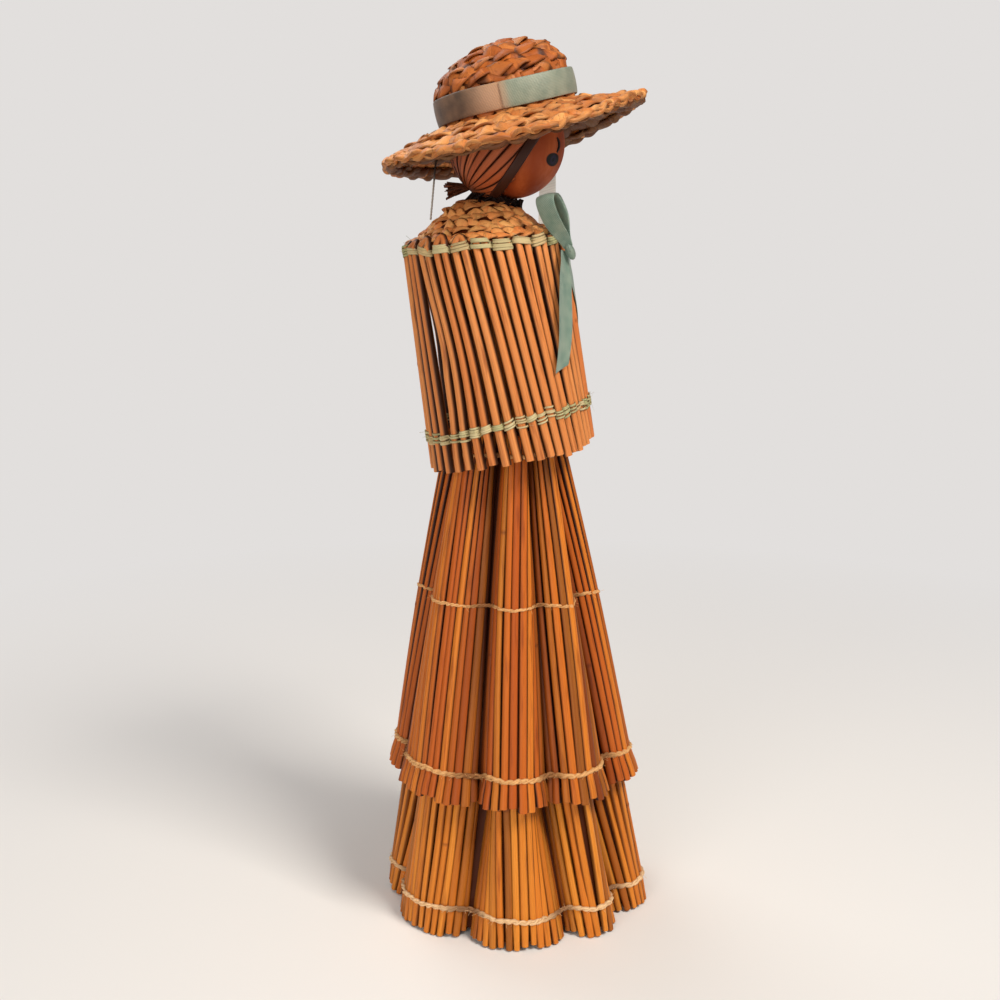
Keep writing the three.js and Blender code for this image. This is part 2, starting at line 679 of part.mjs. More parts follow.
const crownRadius = hairOutside + HAT_EASE + PLAIT / 2;
const brimRoot = crownRadius + BRIM_ROOT_ROUND;
const brimHeight = (radius) => BRIM_ROOT_HEIGHT * (BRIM_RADIUS - radius) / (BRIM_RADIUS - brimRoot);

// The brim is bent by hand, more towards its edge. Bearings run from the front over her right side.
function brimBend(radius, bearing) {
  const share = Math.max((radius - brimRoot) / (BRIM_RADIUS - brimRoot), 0);
  const sides = BRIM_LIFT * Math.sin(bearing) - BRIM_SAG * Math.sin(bearing) ** 2;
  return share ** 2 * (sides + BRIM_CURL * Math.cos(bearing));
}

function hatShell() {
  const profile = new THREE.Path();
  profile.absellipse(0, CROWN_HEIGHT - CROWN_ROUND, crownRadius, CROWN_ROUND, Math.PI / 2, 0, true);
  profile.lineTo(crownRadius, BRIM_ROOT_HEIGHT + BRIM_ROOT_ROUND);
  profile.quadraticCurveTo(crownRadius, BRIM_ROOT_HEIGHT, brimRoot, BRIM_ROOT_HEIGHT);
  profile.lineTo(BRIM_RADIUS, 0);
  return plaitShell(profile, brimBend, HAT_SEGMENTS);
}

addMesh(hat, 'hat', hatShell(), finishes.plait);

function hatBand() {
  const inside = crownRadius + plaitOutside + CLEARANCE;
  const outline = new THREE.Path();
  outline.moveTo(inside, 0);
  outline.lineTo(inside + RIBBON, 0);
  outline.lineTo(inside + RIBBON, BAND_WIDTH);
  outline.lineTo(inside, BAND_WIDTH);
  outline.lineTo(inside, 0);
  const band = new THREE.LatheGeometry(outline.getPoints(1), HAT_SEGMENTS);
  band.rotateX(Math.PI / 2);
  band.translate(0, 0, BRIM_ROOT_HEIGHT + BRIM_ROOT_ROUND + BAND_RISE);
  return welded(band);
}

addMesh(hat, 'hat_band', hatBand(), finishes.ribbon);

// Bow at the front of the yoke

const overThread = 2 * CLEARANCE + THREAD;
const knotLift = overThread + RIBBON / 2 + CLEARANCE + KNOT_DEPTH / 2;
const knotShare = BOW_DROP / TORSO_LENGTH;
const knotSeat = capeFace(radians(BOW_BEARING), knotShare, knotLift);
const bow = new THREE.Group();
bow.position.copy(knotSeat.place);
bow.rotation.set(radians(TORSO_LEAN - BOW_LEAN), 0, -radians(BOW_TURN), 'ZXY');
torso.add(bow);

const knot = new THREE.SphereGeometry(0.5, KNOT_SEGMENTS, KNOT_SEGMENTS / 2);
knot.scale(KNOT_WIDTH, KNOT_DEPTH, KNOT_HEIGHT);
addMesh(bow, 'bow_knot', welded(knot), finishes.ribbon);

function teardrop(path, start, end, swell) {
  path.moveTo(start, 0);
  path.bezierCurveTo((start + end) / 2, -swell, end, -swell, end, 0);
  path.bezierCurveTo(end, swell, (start + end) / 2, swell, start, 0);
  return path;
}

function bowLoop(side) {
  const root = KNOT_HEIGHT / 2 + CLEARANCE;
  const outline = teardrop(new THREE.Shape(), root, root + LOOP_LENGTH, LOOP_SWELL + RIBBON);
  const gap = teardrop(new THREE.Path(), root + LOOP_PINCH, root + LOOP_LENGTH - RIBBON, LOOP_SWELL);
  outline.holes.push(gap);
  const settings = { depth: RIBBON_WIDTH, bevelEnabled: false, curveSegments: LOOP_CURVE_STEPS };
  const loop = new THREE.ExtrudeGeometry(outline, settings);
  loop.rotateX(Math.PI / 2);
  loop.translate(0, KNOT_DEPTH / 2 - CLEARANCE, 0);
  const angle = radians(LOOP_ANGLE);
  loop.rotateY(side < 0 ? angle - Math.PI : -angle);
  return welded(loop);
}

addMesh(bow, 'bow_loop_right', bowLoop(-1), finishes.ribbon);
addMesh(bow, 'bow_loop_left', bowLoop(1), finishes.ribbon);

// A tail leaves the knot and crosses the cape's front on a slant
function bowTail(side, swept) {
  const start = (RIBBON_WIDTH / 2 + CLEARANCE) / foldDepth;
  const stations = [];
  for (let i = 0; i <= TAIL_STEPS; i++) {
    const share = i / TAIL_STEPS;
    const sweep = THREE.MathUtils.lerp(start, radians(swept), share);
    const drop = THREE.MathUtils.lerp(knotShare, BOW_TAIL_DROP / TORSO_LENGTH, share);
    stations.push(capeFace(radians(BOW_BEARING) + side * sweep, drop, overThread));
  }
  return ribbonStrip(stations, RIBBON_WIDTH, RIBBON);
}

addMesh(torso, 'bow_tail_right', bowTail(1, RIGHT_TAIL_SWEEP), finishes.ribbon);
addMesh(torso, 'bow_tail_left', bowTail(-1, LEFT_TAIL_SWEEP), finishes.ribbon);

// Ties between the brim and the yoke

doll.updateMatrixWorld(true);

function brimUnderside(radius, bearing) {
  const height = brimHeight(radius) + brimBend(radius, bearing) - PLAIT / 2 - 2 * CLEARANCE;
  return aroundCape(bearing, radius, radius, height).applyMatrix4(hat.matrixWorld);
}

// A point just off the yoke's outside, square to it
function yokeTop(radius, bearing) {
  const slope = Math.asin(radius / yokeBall);
  const reach = yokeBall + plaitOutside + 2 * CLEARANCE;
  const out = reach * Math.sin(slope);
  const height = YOKE_RISE - yokeBall + reach * Math.cos(slope);
  return aroundCape(bearing, out * yokeStretch, out, height).applyMatrix4(yoke.matrixWorld);
}

const backTop = brimUnderside(BACK_TIE_RADIUS, radians(BACK_TIE_BEARING));
const backFoot = yokeTop(BACK_TIE_FOOT, radians(BACK_TIE_BEARING));
addMesh(doll, 'back_hat_tie', rod(backFoot, backTop, TIE, TIE, TIE_SIDES), finishes.tape);

// The front tie is a flat tape that twists on its way from the far side of the brim to the bow
function frontTie() {
  const brimBearing = radians(FRONT_TIE_BEARING);
  const footBearing = radians(FRONT_TIE_FOOT_BEARING);
  const top = { place: brimUnderside(FRONT_TIE_RADIUS, brimBearing), face: aroundCape(brimBearing, 1, 1, 0) };
  const foot = { place: yokeTop(FRONT_TIE_FOOT, footBearing), face: aroundCape(footBearing, 1, 1, 0) };
  return ribbonStrip([top, foot], TAPE_WIDTH, TAPE);
}

addMesh(doll, 'front_hat_tie', frontTie(), finishes.tape);

// The origin is set under the middle of the doll
const box = new THREE.Box3().setFromObject(doll, true);
const middle = box.getCenter(new THREE.Vector3());
doll.position.set(-middle.x, -middle.y, -box.min.z);

export default doll;
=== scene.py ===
import math
import random
import bpy
from mathutils import Matrix, Vector


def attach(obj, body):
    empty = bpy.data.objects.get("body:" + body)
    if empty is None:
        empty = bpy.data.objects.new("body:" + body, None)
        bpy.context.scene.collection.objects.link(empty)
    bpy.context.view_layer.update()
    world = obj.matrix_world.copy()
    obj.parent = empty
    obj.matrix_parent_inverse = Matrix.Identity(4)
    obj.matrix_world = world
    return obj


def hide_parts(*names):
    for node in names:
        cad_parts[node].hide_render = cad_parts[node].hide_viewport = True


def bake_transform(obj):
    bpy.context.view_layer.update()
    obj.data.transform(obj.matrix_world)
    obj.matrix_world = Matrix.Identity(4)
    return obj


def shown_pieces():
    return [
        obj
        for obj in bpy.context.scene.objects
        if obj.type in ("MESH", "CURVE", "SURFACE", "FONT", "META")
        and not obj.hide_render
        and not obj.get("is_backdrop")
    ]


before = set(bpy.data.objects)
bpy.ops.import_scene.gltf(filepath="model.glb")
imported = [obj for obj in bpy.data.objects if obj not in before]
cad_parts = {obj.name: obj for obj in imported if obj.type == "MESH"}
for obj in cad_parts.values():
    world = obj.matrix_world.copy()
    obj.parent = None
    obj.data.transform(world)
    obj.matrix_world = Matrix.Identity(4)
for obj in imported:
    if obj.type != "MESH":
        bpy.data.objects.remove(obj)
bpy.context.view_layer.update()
scene = bpy.context.scene
scene.view_settings.view_transform = "Standard"
mm = 0.001
shift = Vector((-0.048, -0.476, 0.0))  # the doll's own axis, in mm
dice = random.Random(11)
print("frame loaded:", len(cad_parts), "nodes")


# camera, fitted to the photo

view = {"azimuth": -95.0, "pitch": 12.75, "height": 214.3, "distance": 382.7, "aside": 5.7, "lens": 46.8}


def makeCamera():
    around, pitch = math.radians(view["azimuth"]), math.radians(view["pitch"])
    toward = Vector((-math.sin(around), math.cos(around), 0))
    right = Vector((math.cos(around), math.sin(around), 0))
    spot = shift - toward * view["distance"] - right * view["aside"] + Vector((0, 0, view["height"]))
    look = toward * math.cos(pitch) - Vector((0, 0, math.sin(pitch)))
    lens = bpy.data.cameras.new("camera")
    lens.lens, lens.sensor_width, lens.clip_start = view["lens"], 36, 0.01
    camera = bpy.data.objects.new("camera", lens)
    scene.collection.objects.link(camera)
    camera.matrix_world = Matrix.Translation(spot * mm) @ look.to_track_quat("-Z", "Y").to_matrix().to_4x4()
    scene.camera = camera


makeCamera()


# small tools

def lerp(a, b, t):
    return a + (b - a) * t


def move(x, y, z):
    return Matrix.Translation((x, y, z))


def turn(degrees, axis):
    return Matrix.Rotation(math.radians(degrees), 4, axis)


def smooth(low, high, value):
    t = min(max((value - low) / (high - low), 0.0), 1.0)
    return t * t * (3 - 2 * t)


def tint(red, green, blue):  # a colour as a screen shows it, made linear
    def linear(c):
        c /= 255
        return c / 12.92 if c <= 0.04045 else ((c + 0.055) / 1.055) ** 2.4
    return (linear(red), linear(green), linear(blue), 1.0)


def evenly(points, count):  # points at even steps along a line
    lengths = [0.0]
    for a, b in zip(points, points[1:]):
        lengths.append(lengths[-1] + (b - a).length)
    found, k = [], 0
    for i in range(count + 1):
        want = lengths[-1] * i / count
        while k < len(points) - 2 and lengths[k + 1] < want:
            k += 1
        span = lengths[k + 1] - lengths[k]
        found.append(points[k].lerp(points[k + 1], (want - lengths[k]) / span if span else 0))
    return found


def lineLength(points):
    return sum((b - a).length for a, b in zip(points, points[1:]))


# shader groups

def link(tree, source, target):
    tree.links.new(source, target)


def mathNode(tree, operation, a, b=None, clamp=False):
    node = tree.nodes.new("ShaderNodeMath")
    node.operation, node.use_clamp = operation, clamp
    for socket, value in zip(node.inputs, (a, b)):
        if value is None:
            continue
        if isinstance(value, (int, float)):
            socket.default_value = value
        else:
            link(tree, value, socket)
    return node.outputs[0]


def mixColour(tree, share, a, b, blend="MIX"):
    node = tree.nodes.new("ShaderNodeMix")
    node.data_type, node.blend_type = "RGBA", blend
    for socket, value in zip((node.inputs[0], node.inputs[6], node.inputs[7]), (share, a, b)):
        if isinstance(value, (int, float, tuple)):
            socket.default_value = value
        else:
            link(tree, value, socket)
    return node.outputs[2]


def spread(tree, value, low, high, toLow=0.0, toHigh=1.0):
    node = tree.nodes.new("ShaderNodeMapRange")
    link(tree, value, node.inputs["Value"])
    for label, amount in (("From Min", low), ("From Max", high), ("To Min", toLow), ("To Max", toHigh)):
        node.inputs[label].default_value = amount
    return node.outputs[0]


def noiseNode(tree, vector, scale, detail=3.0, roughness=0.55):
    node = tree.nodes.new("ShaderNodeTexNoise")
    node.inputs["Scale"].default_value = scale
    node.inputs["Detail"].default_value = detail
    node.inputs["Roughness"].default_value = roughness
    link(tree, vector, node.inputs["Vector"])
    return node.outputs["Fac"]


def attribute(tree, name, output="Fac"):
    node = tree.nodes.new("ShaderNodeAttribute")
    node.attribute_name = name
    return node.outputs[output]


def scaled(tree, vector, factors):
    node = tree.nodes.new("ShaderNodeVectorMath")
    node.operation = "MULTIPLY"
    link(tree, vector, node.inputs[0])
    node.inputs[1].default_value = factors
    return node.outputs[0]


colour, number = "NodeSocketColor", "NodeSocketFloat"


# a group takes its named colours and numbers, and gives a colour, a roughness and a height
def newGroup(name, colours, numbers):
    tree = bpy.data.node_groups.new(name, "ShaderNodeTree")
    for label in colours:
        tree.interface.new_socket(label, in_out="INPUT", socket_type=colour)
    for label in numbers:
        tree.interface.new_socket(label, in_out="INPUT", socket_type=number)
    for label, kind in (("Color", colour), ("Roughness", number), ("Height", number)):
        tree.interface.new_socket(label, in_out="OUTPUT", socket_type=kind)
    return tree, tree.nodes.new("NodeGroupInput").outputs, tree.nodes.new("NodeGroupOutput").inputs


# straw: each stalk has its own tone, fibres that run along it, stains and joint rings, with painted shade on
# its sides, and darkened where the "shade" attribute says
def strawGroup():
    tree, given, made = newGroup("straw fibre", ("Pale", "Deep", "Stain", "Warm", "Shadow"),
                                 ("Fibre", "Staining", "SideShade"))
    tone = attribute(tree, "tone")
    place = tree.nodes.new("ShaderNodeCombineXYZ")
    link(tree, mathNode(tree, "MULTIPLY", tone, 61.0), place.inputs[0])
    link(tree, mathNode(tree, "MULTIPLY", tone, 23.0), place.inputs[1])
    link(tree, mathNode(tree, "MULTIPLY", attribute(tree, "along"), 26.0), place.inputs[2])
    add = tree.nodes.new("ShaderNodeVectorMath")
    link(tree, scaled(tree, attribute(tree, "around", "Vector"), (1.0, 1.0, 0.0)), add.inputs[0])
    link(tree, place.outputs[0], add.inputs[1])
    fibre = noiseNode(tree, scaled(tree, add.outputs[0], (7.0, 7.0, 1.0)), 1.0, 4.0)
    fine = noiseNode(tree, scaled(tree, add.outputs[0], (19.0, 19.0, 2.0)), 1.0, 2.0)
    blotch = noiseNode(tree, scaled(tree, add.outputs[0], (0.9, 0.9, 2.2)), 1.0, 2.0)
    body = mixColour(tree, tone, given["Pale"], given["Deep"])
    hue = mathNode(tree, "FRACT", mathNode(tree, "MULTIPLY", tone, 7.31))
    body = mixColour(tree, spread(tree, hue, 0.45, 1.0, 0.0, 0.8), body, given["Warm"])
    streak = spread(tree, fibre, 0.36, 0.68)
    body = mixColour(tree, mathNode(tree, "MULTIPLY", streak, given["Fibre"]), body, given["Deep"])
    stainAndShade = mathNode(tree, "MULTIPLY", spread(tree, blotch, 0.56, 0.74), given["Staining"], True)
    body = mixColour(tree, stainAndShade, body, given["Stain"])
    ring = mathNode(tree, "MULTIPLY", attribute(tree, "ring"), 0.65, True)
    body = mixColour(tree, ring, body, given["Stain"])
    # painted shade: the sides of each stalk, where it meets its neighbours, are mixed towards the Shadow colour
    split = tree.nodes.new("ShaderNodeSeparateXYZ")
    link(tree, attribute(tree, "around", "Vector"), split.inputs[0])
    edge = spread(tree, mathNode(tree, "ABSOLUTE", split.outputs[1]), 0.6, 0.9)
    edge = mathNode(tree, "MULTIPLY", edge, given["SideShade"], True)
    dark = mathNode(tree, "MAXIMUM", edge, attribute(tree, "shade"), True)
    body = mixColour(tree, dark, body, given["Shadow"])
    link(tree, body, made["Color"])
    link(tree, spread(tree, fine, 0.3, 0.7, 0.36, 0.62), made["Roughness"])
    link(tree, mathNode(tree, "ADD", fibre, mathNode(tree, "MULTIPLY", fine, 0.6)), made["Height"])
    return tree


# woven cloth, on the piece's own UV map in millimetres, with painted shade where the "shade" attribute says and
# in the weave's low places
def weaveGroup():
    tree, given, made = newGroup("woven cloth", ("Cloth", "Faded", "Lit"), ("Warp", "Slant", "Fade"))
    uv = tree.nodes.new("ShaderNodeUVMap")
    uv.uv_map = "cloth"
    split = tree.nodes.new("ShaderNodeSeparateXYZ")
    link(tree, uv.outputs[0], split.inputs[0])
    along, across = split.outputs[0], split.outputs[1]
    slanted = mathNode(tree, "ADD", along, mathNode(tree, "MULTIPLY", across, given["Slant"]))
    turns = mathNode(tree, "DIVIDE", 6.2832, given["Warp"])
    ribs = mathNode(tree, "SINE", mathNode(tree, "MULTIPLY", slanted, turns))
    warp = mathNode(tree, "SINE", mathNode(tree, "MULTIPLY", across, mathNode(tree, "MULTIPLY", turns, 1.3)))
    height = mathNode(tree, "ADD", ribs, mathNode(tree, "MULTIPLY", warp, 0.6))
    cloud = noiseNode(tree, uv.outputs[0], 0.2, 2.0)
    slub = noiseNode(tree, scaled(tree, uv.outputs[0], (0.5, 6.0, 1.0)), 1.0, 3.0)
    body = mixColour(tree, spread(tree, cloud, 0.35, 0.7), given["Cloth"], given["Lit"])
    body = mixColour(tree, mathNode(tree, "MULTIPLY", spread(tree, slub, 0.45, 0.75), 0.35), body, given["Lit"])
    worn = mathNode(tree, "MULTIPLY", attribute(tree, "faded"), given["Fade"], True)
    body = mixColour(tree, worn, body, given["Faded"])
    mottled = spread(tree, cloud, 0.3, 0.7, 0.72, 1.16)
    gloom = mathNode(tree, "MULTIPLY", attribute(tree, "shade"), mottled, True)
    body = mixColour(tree, gloom, body, (0.03, 0.015, 0.008, 1.0))
    # painted shade: the weave's low places are darkened
    dark = spread(tree, height, -1.6, 0.8, 0.42, 0.0)
    body = mixColour(tree, dark, body, (0.02, 0.03, 0.025, 1.0))
    link(tree, body, made["Color"])
    link(tree, spread(tree, slub, 0.3, 0.7, 0.34, 0.55), made["Roughness"])
    link(tree, height, made["Height"])
    return tree


strawTree, weaveTree = strawGroup(), weaveGroup()


def newMaterial(name, group, values, bump, distance, settings):
    material = bpy.data.materials.new(name)
    material.use_nodes = True
    tree = material.node_tree
    shader = tree.nodes["Principled BSDF"]
    for label, value in settings.items():
        shader.inputs[label].default_value = value
    used = tree.nodes.new("ShaderNodeGroup")
    used.node_tree = group
    for label, value in values.items():
        used.inputs[label].default_value = value
    relief = tree.nodes.new("ShaderNodeBump")
    relief.inputs["Strength"].default_value = bump
    relief.inputs["Distance"].default_value = distance
    link(tree, used.outputs["Height"], relief.inputs["Height"])
    link(tree, used.outputs["Color"], shader.inputs["Base Color"])
    link(tree, used.outputs["Roughness"], shader.inputs["Roughness"])
    link(tree, relief.outputs["Normal"], shader.inputs["Normal"])
    return material


strawFinishes = {
    "straw": {"Pale": tint(228, 139, 44), "Deep": tint(178, 82, 18), "Warm": tint(198, 96, 24),
              "Stain": tint(116, 46, 12), "Shadow": tint(42, 12, 3),
              "Fibre": 0.75, "Staining": 0.65, "SideShade": 1.0},
    "capeStraw": {"Pale": tint(238, 166, 98), "Deep": tint(198, 108, 48), "Warm": tint(218, 120, 62),
                  "Stain": tint(136, 66, 28), "Shadow": tint(36, 11, 4),
                  "Fibre": 0.8, "Staining": 0.75, "SideShade": 0.95},
    "deepStraw": {"Pale": tint(240, 156, 54), "Deep": tint(200, 108, 26), "Warm": tint(214, 114, 30),
                  "Stain": tint(130, 58, 16), "Shadow": tint(46, 16, 5),
                  "Fibre": 0.75, "Staining": 0.55, "SideShade": 0.72},
    "plait": {"Pale": tint(250, 178, 104), "Deep": tint(168, 86, 30), "Warm": tint(210, 118, 50),
              "Stain": tint(120, 58, 24), "Shadow": tint(44, 17, 6),
              "Fibre": 0.5, "Staining": 0.7, "SideShade": 0.45},
    # painted light: a paler copy of the plait finish, so that the yoke looks lit
    "yokePlaitLit": {"Pale": tint(255, 194, 116), "Deep": tint(238, 134, 66), "Warm": tint(252, 154, 84),
                  "Stain": tint(150, 76, 34), "Shadow": tint(48, 18, 6),
                  "Fibre": 0.5, "Staining": 0.6, "SideShade": 0.45},
    "hair": {"Pale": tint(204, 112, 64), "Deep": tint(156, 74, 36), "Warm": tint(178, 88, 46),
             "Stain": tint(92, 40, 16), "Shadow": tint(32, 12, 5),
             "Fibre": 0.7, "Staining": 0.6, "SideShade": 0.8},
    "thread": {"Pale": tint(246, 210, 162), "Deep": tint(228, 182, 132), "Warm": tint(238, 188, 142),
               "Stain": tint(204, 148, 92), "Shadow": tint(96, 48, 18),
               "Fibre": 0.5, "Staining": 0.5, "SideShade": 0.35},
    "midThread": {"Pale": tint(238, 190, 130), "Deep": tint(212, 152, 92), "Warm": tint(224, 160, 104),
                  "Stain": tint(156, 94, 40), "Shadow": tint(96, 46, 14),
                  "Fibre": 0.5, "Staining": 0.4, "SideShade": 0.25},
    "greenThread": {"Pale": tint(224, 200, 156), "Deep": tint(162, 162, 114), "Warm": tint(216, 172, 126),
                    "Stain": tint(142, 116, 74), "Shadow": tint(62, 46, 22),
                    "Fibre": 0.7, "Staining": 0.7, "SideShade": 0.5},
    "darkCord": {"Pale": tint(40, 20, 14), "Deep": tint(22, 11, 8), "Warm": tint(34, 16, 10),
                 "Stain": tint(14, 8, 6), "Shadow": tint(8, 5, 4),
                 "Fibre": 0.5, "Staining": 0.5, "SideShade": 0.3},
    "tie": {"Pale": tint(206, 200, 190), "Deep": tint(178, 172, 162), "Warm": tint(192, 184, 172),
            "Stain": tint(140, 132, 114), "Shadow": tint(40, 20, 10),
            "Fibre": 0.5, "Staining": 0.3, "SideShade": 0.1},
    # painted shade: a dark finish for sheets that stand for the shade behind stalks, strips and plaits
    "shadeSheet": {"Pale": tint(82, 36, 13), "Deep": tint(52, 20, 7), "Warm": tint(68, 28, 10),
               "Stain": tint(40, 15, 6), "Shadow": tint(24, 9, 4),
               "Fibre": 0.5, "Staining": 0.6, "SideShade": 0.2},
}
softFinishes = ("thread", "midThread", "greenThread", "darkCord", "tie", "shadeSheet")
finishes = {}
for finishName, finishValues in strawFinishes.items():
    bump, gloss = (0.5, 0.12) if finishName in softFinishes else (0.35, 0.26)
    finishes[finishName] = newMaterial(finishName, strawTree, finishValues, bump, 0.00012,
                                       {"Specular IOR Level": gloss})

ribbonCloth = {"Cloth": tint(106, 136, 120), "Lit": tint(152, 168, 148), "Faded": tint(192, 146, 108),
               "Warp": 0.5, "Slant": 0.7, "Fade": 1.0}
finishes["ribbon"] = newMaterial("ribbon", weaveTree, ribbonCloth, 0.3, 0.00006,
                                 {"Sheen Weight": 0.25, "Specular IOR Level": 0.5})
tapeCloth = {"Cloth": tint(238, 234, 222), "Lit": tint(248, 246, 238), "Faded": tint(228, 220, 200),
             "Warp": 0.5, "Slant": 0.0, "Fade": 0.4}
# painted light: the tape glows a little, as if lit through
finishes["tape"] = newMaterial("tape", weaveTree, tapeCloth, 0.3, 0.00006,
                               {"Specular IOR Level": 0.2, "Alpha": 0.7, "Emission Color": tint(226, 222, 208),
                                "Emission Strength": 0.2})
print("finishes made:", len(finishes))


# strands: guide lines become stalks, strips and threads in one geometry tree

def strandTree():
    tree = bpy.data.node_groups.new("strands along guides", "GeometryNodeTree")
    tree.interface.new_socket("Guides", in_out="INPUT", socket_type="NodeSocketGeometry")
    for label, kind, value in (("Sides", "NodeSocketInt", 12), ("Flatness", "NodeSocketFloat", 1.0),
                               ("Bore", "NodeSocketFloat", 0.0), ("Bore Depth", "NodeSocketFloat", 0.002),
                               ("Finish", "NodeSocketMaterial", None)):
        socket = tree.interface.new_socket(label, in_out="INPUT", socket_type=kind)
        if value is not None:
            socket.default_value = value
    tree.interface.new_socket("Strands", in_out="OUTPUT", socket_type="NodeSocketGeometry")
    given, made = tree.nodes.new("NodeGroupInput").outputs, tree.nodes.new("NodeGroupOutput").inputs

    def node(kind, **settings):
        fresh = tree.nodes.new(kind)
        for label, value in settings.items():
            setattr(fresh, label, value)
        return fresh

    def named(name, kind):
        fresh = node("GeometryNodeInputNamedAttribute", data_type=kind)
        fresh.inputs["Name"].default_value = name
        return fresh.outputs["Attribute"]

    def store(geometry, name, kind, value):
        fresh = node("GeometryNodeStoreNamedAttribute", data_type=kind, domain="POINT")
        fresh.inputs["Name"].default_value = name
        link(tree, geometry, fresh.inputs["Geometry"])
        link(tree, value, fresh.inputs["Value"])
        return fresh.outputs[0]

    lines = node("GeometryNodeMeshToCurve")
    link(tree, given["Guides"], lines.inputs["Mesh"])
    facing = node("GeometryNodeSetCurveNormal", mode="FREE")
    link(tree, lines.outputs[0], facing.inputs["Curve"])
    link(tree, named("facing", "FLOAT_VECTOR"), facing.inputs["Normal"])
    walked = store(facing.outputs[0], "along", "FLOAT", node("GeometryNodeSplineParameter").outputs["Length"])
    ring = node("GeometryNodeCurvePrimitiveCircle")
    link(tree, given["Sides"], ring.inputs["Resolution"])
    section = store(ring.outputs[0], "around", "FLOAT_VECTOR", node("GeometryNodeInputPosition").outputs[0])
    flat = node("ShaderNodeCombineXYZ")
    flat.inputs[1].default_value = flat.inputs[2].default_value = 1.0
    link(tree, given["Flatness"], flat.inputs[0])
    pressed = node("GeometryNodeTransform")
    link(tree, section, pressed.inputs["Geometry"])
    link(tree, flat.outputs[0], pressed.inputs["Scale"])
    tube = node("GeometryNodeCurveToMesh")
    tube.inputs["Fill Caps"].default_value = True
    link(tree, walked, tube.inputs["Curve"])
    link(tree, pressed.outputs[0], tube.inputs["Profile Curve"])
    link(tree, named("girth", "FLOAT"), tube.inputs["Scale"])
    rounded = node("GeometryNodeSetShadeSmooth")
    link(tree, tube.outputs[0], rounded.inputs["Geometry"])

    # hollow ends: each cap is set in and pushed down the stalk, and its sunk face gets painted shade
    cap = node("FunctionNodeCompare", data_type="INT", operation="GREATER_THAN")
    link(tree, node("GeometryNodeInputMeshFaceNeighbors").outputs["Vertex Count"], cap.inputs[2])
    cap.inputs[3].default_value = 4
    wall = node("GeometryNodeExtrudeMesh", mode="FACES")
    wall.inputs["Offset Scale"].default_value = 0.0
    link(tree, rounded.outputs[0], wall.inputs["Mesh"])
    link(tree, cap.outputs[0], wall.inputs["Selection"])
    inner = node("GeometryNodeScaleElements", domain="FACE")
    link(tree, wall.outputs["Mesh"], inner.inputs["Geometry"])
    link(tree, wall.outputs["Top"], inner.inputs["Selection"])
    link(tree, given["Bore"], inner.inputs["Scale"])
    deep = node("GeometryNodeExtrudeMesh", mode="FACES")
    link(tree, inner.outputs[0], deep.inputs["Mesh"])
    link(tree, wall.outputs["Top"], deep.inputs["Selection"])
    inward = node("ShaderNodeMath", operation="MULTIPLY")
    inward.inputs[1].default_value = -1.0
    link(tree, given["Bore Depth"], inward.inputs[0])
    link(tree, inward.outputs[0], deep.inputs["Offset Scale"])
    boreShade = node("GeometryNodeStoreNamedAttribute", data_type="FLOAT", domain="POINT")
    boreShade.inputs["Name"].default_value = "shade"
    boreShade.inputs["Value"].default_value = 0.9
    link(tree, deep.outputs["Mesh"], boreShade.inputs["Geometry"])
    link(tree, deep.outputs["Top"], boreShade.inputs["Selection"])
    bored = node("FunctionNodeCompare", data_type="FLOAT", operation="GREATER_THAN")
    link(tree, given["Bore"], bored.inputs[0])
    bored.inputs[1].default_value = 0.0
    pick = node("GeometryNodeSwitch", input_type="GEOMETRY")
    link(tree, bored.outputs[0], pick.inputs["Switch"])
    link(tree, rounded.outputs[0], pick.inputs["False"])
    link(tree, boreShade.outputs[0], pick.inputs["True"])
    real = node("GeometryNodeRealizeInstances")
    link(tree, pick.outputs[0], real.inputs[0])
    painted = node("GeometryNodeSetMaterial")
    link(tree, real.outputs[0], painted.inputs["Geometry"])
    link(tree, given["Finish"], painted.inputs["Material"])
    link(tree, painted.outputs[0], made["Strands"])
    return tree


strandNodes = strandTree()
strandSockets = {s.name: s.identifier for s in strandNodes.interface.items_tree if s.in_out == "INPUT"}


def listed(value, count):
    return list(value) if isinstance(value, (list, tuple)) else [value] * count


# a line is a dictionary: points and girth in mm, facing, tone, shade and ring
def makeStrands(name, lines, finish, sides=10, flatness=1.0, bore=0.0, boreDepth=2.5):
    points, edges, columns = [], [], {"girth": [], "tone": [], "shade": [], "ring": []}
    facings = []
    for line in lines:
        first, count = len(points), len(line["points"])
        points += [tuple(p * mm) for p in line["points"]]
        edges += [(first + i, first + i + 1) for i in range(count - 1)]
        columns["girth"] += [g * mm for g in listed(line["girth"], count)]
        for key in ("tone", "shade", "ring"):
            columns[key] += listed(line.get(key, 0.0), count)
        facings += [c for f in listed(line["facing"], count) for c in f]
    guide = bpy.data.meshes.new(name + "Guides")
    guide.from_pydata(points, edges, [])
    for key, values in columns.items():
        guide.attributes.new(key, "FLOAT", "POINT").data.foreach_set("value", values)
    guide.attributes.new("facing", "FLOAT_VECTOR", "POINT").data.foreach_set("vector", facings)
    holder = bpy.data.objects.new(name + "Guides", guide)
    scene.collection.objects.link(holder)
    modifier = holder.modifiers.new("strands", "NODES")
    modifier.node_group = strandNodes
    inputs = {"Sides": sides, "Flatness": flatness, "Bore": bore, "Bore Depth": boreDepth * mm,
              "Finish": finishes[finish]}
    for label, value in inputs.items():
        modifier[strandSockets[label]] = value
    graph = bpy.context.evaluated_depsgraph_get()
    mesh = bpy.data.meshes.new_from_object(holder.evaluated_get(graph))
    mesh.name = name
    bpy.data.objects.remove(holder)
    piece = bpy.data.objects.new(name, mesh)
    scene.collection.objects.link(piece)
    return piece


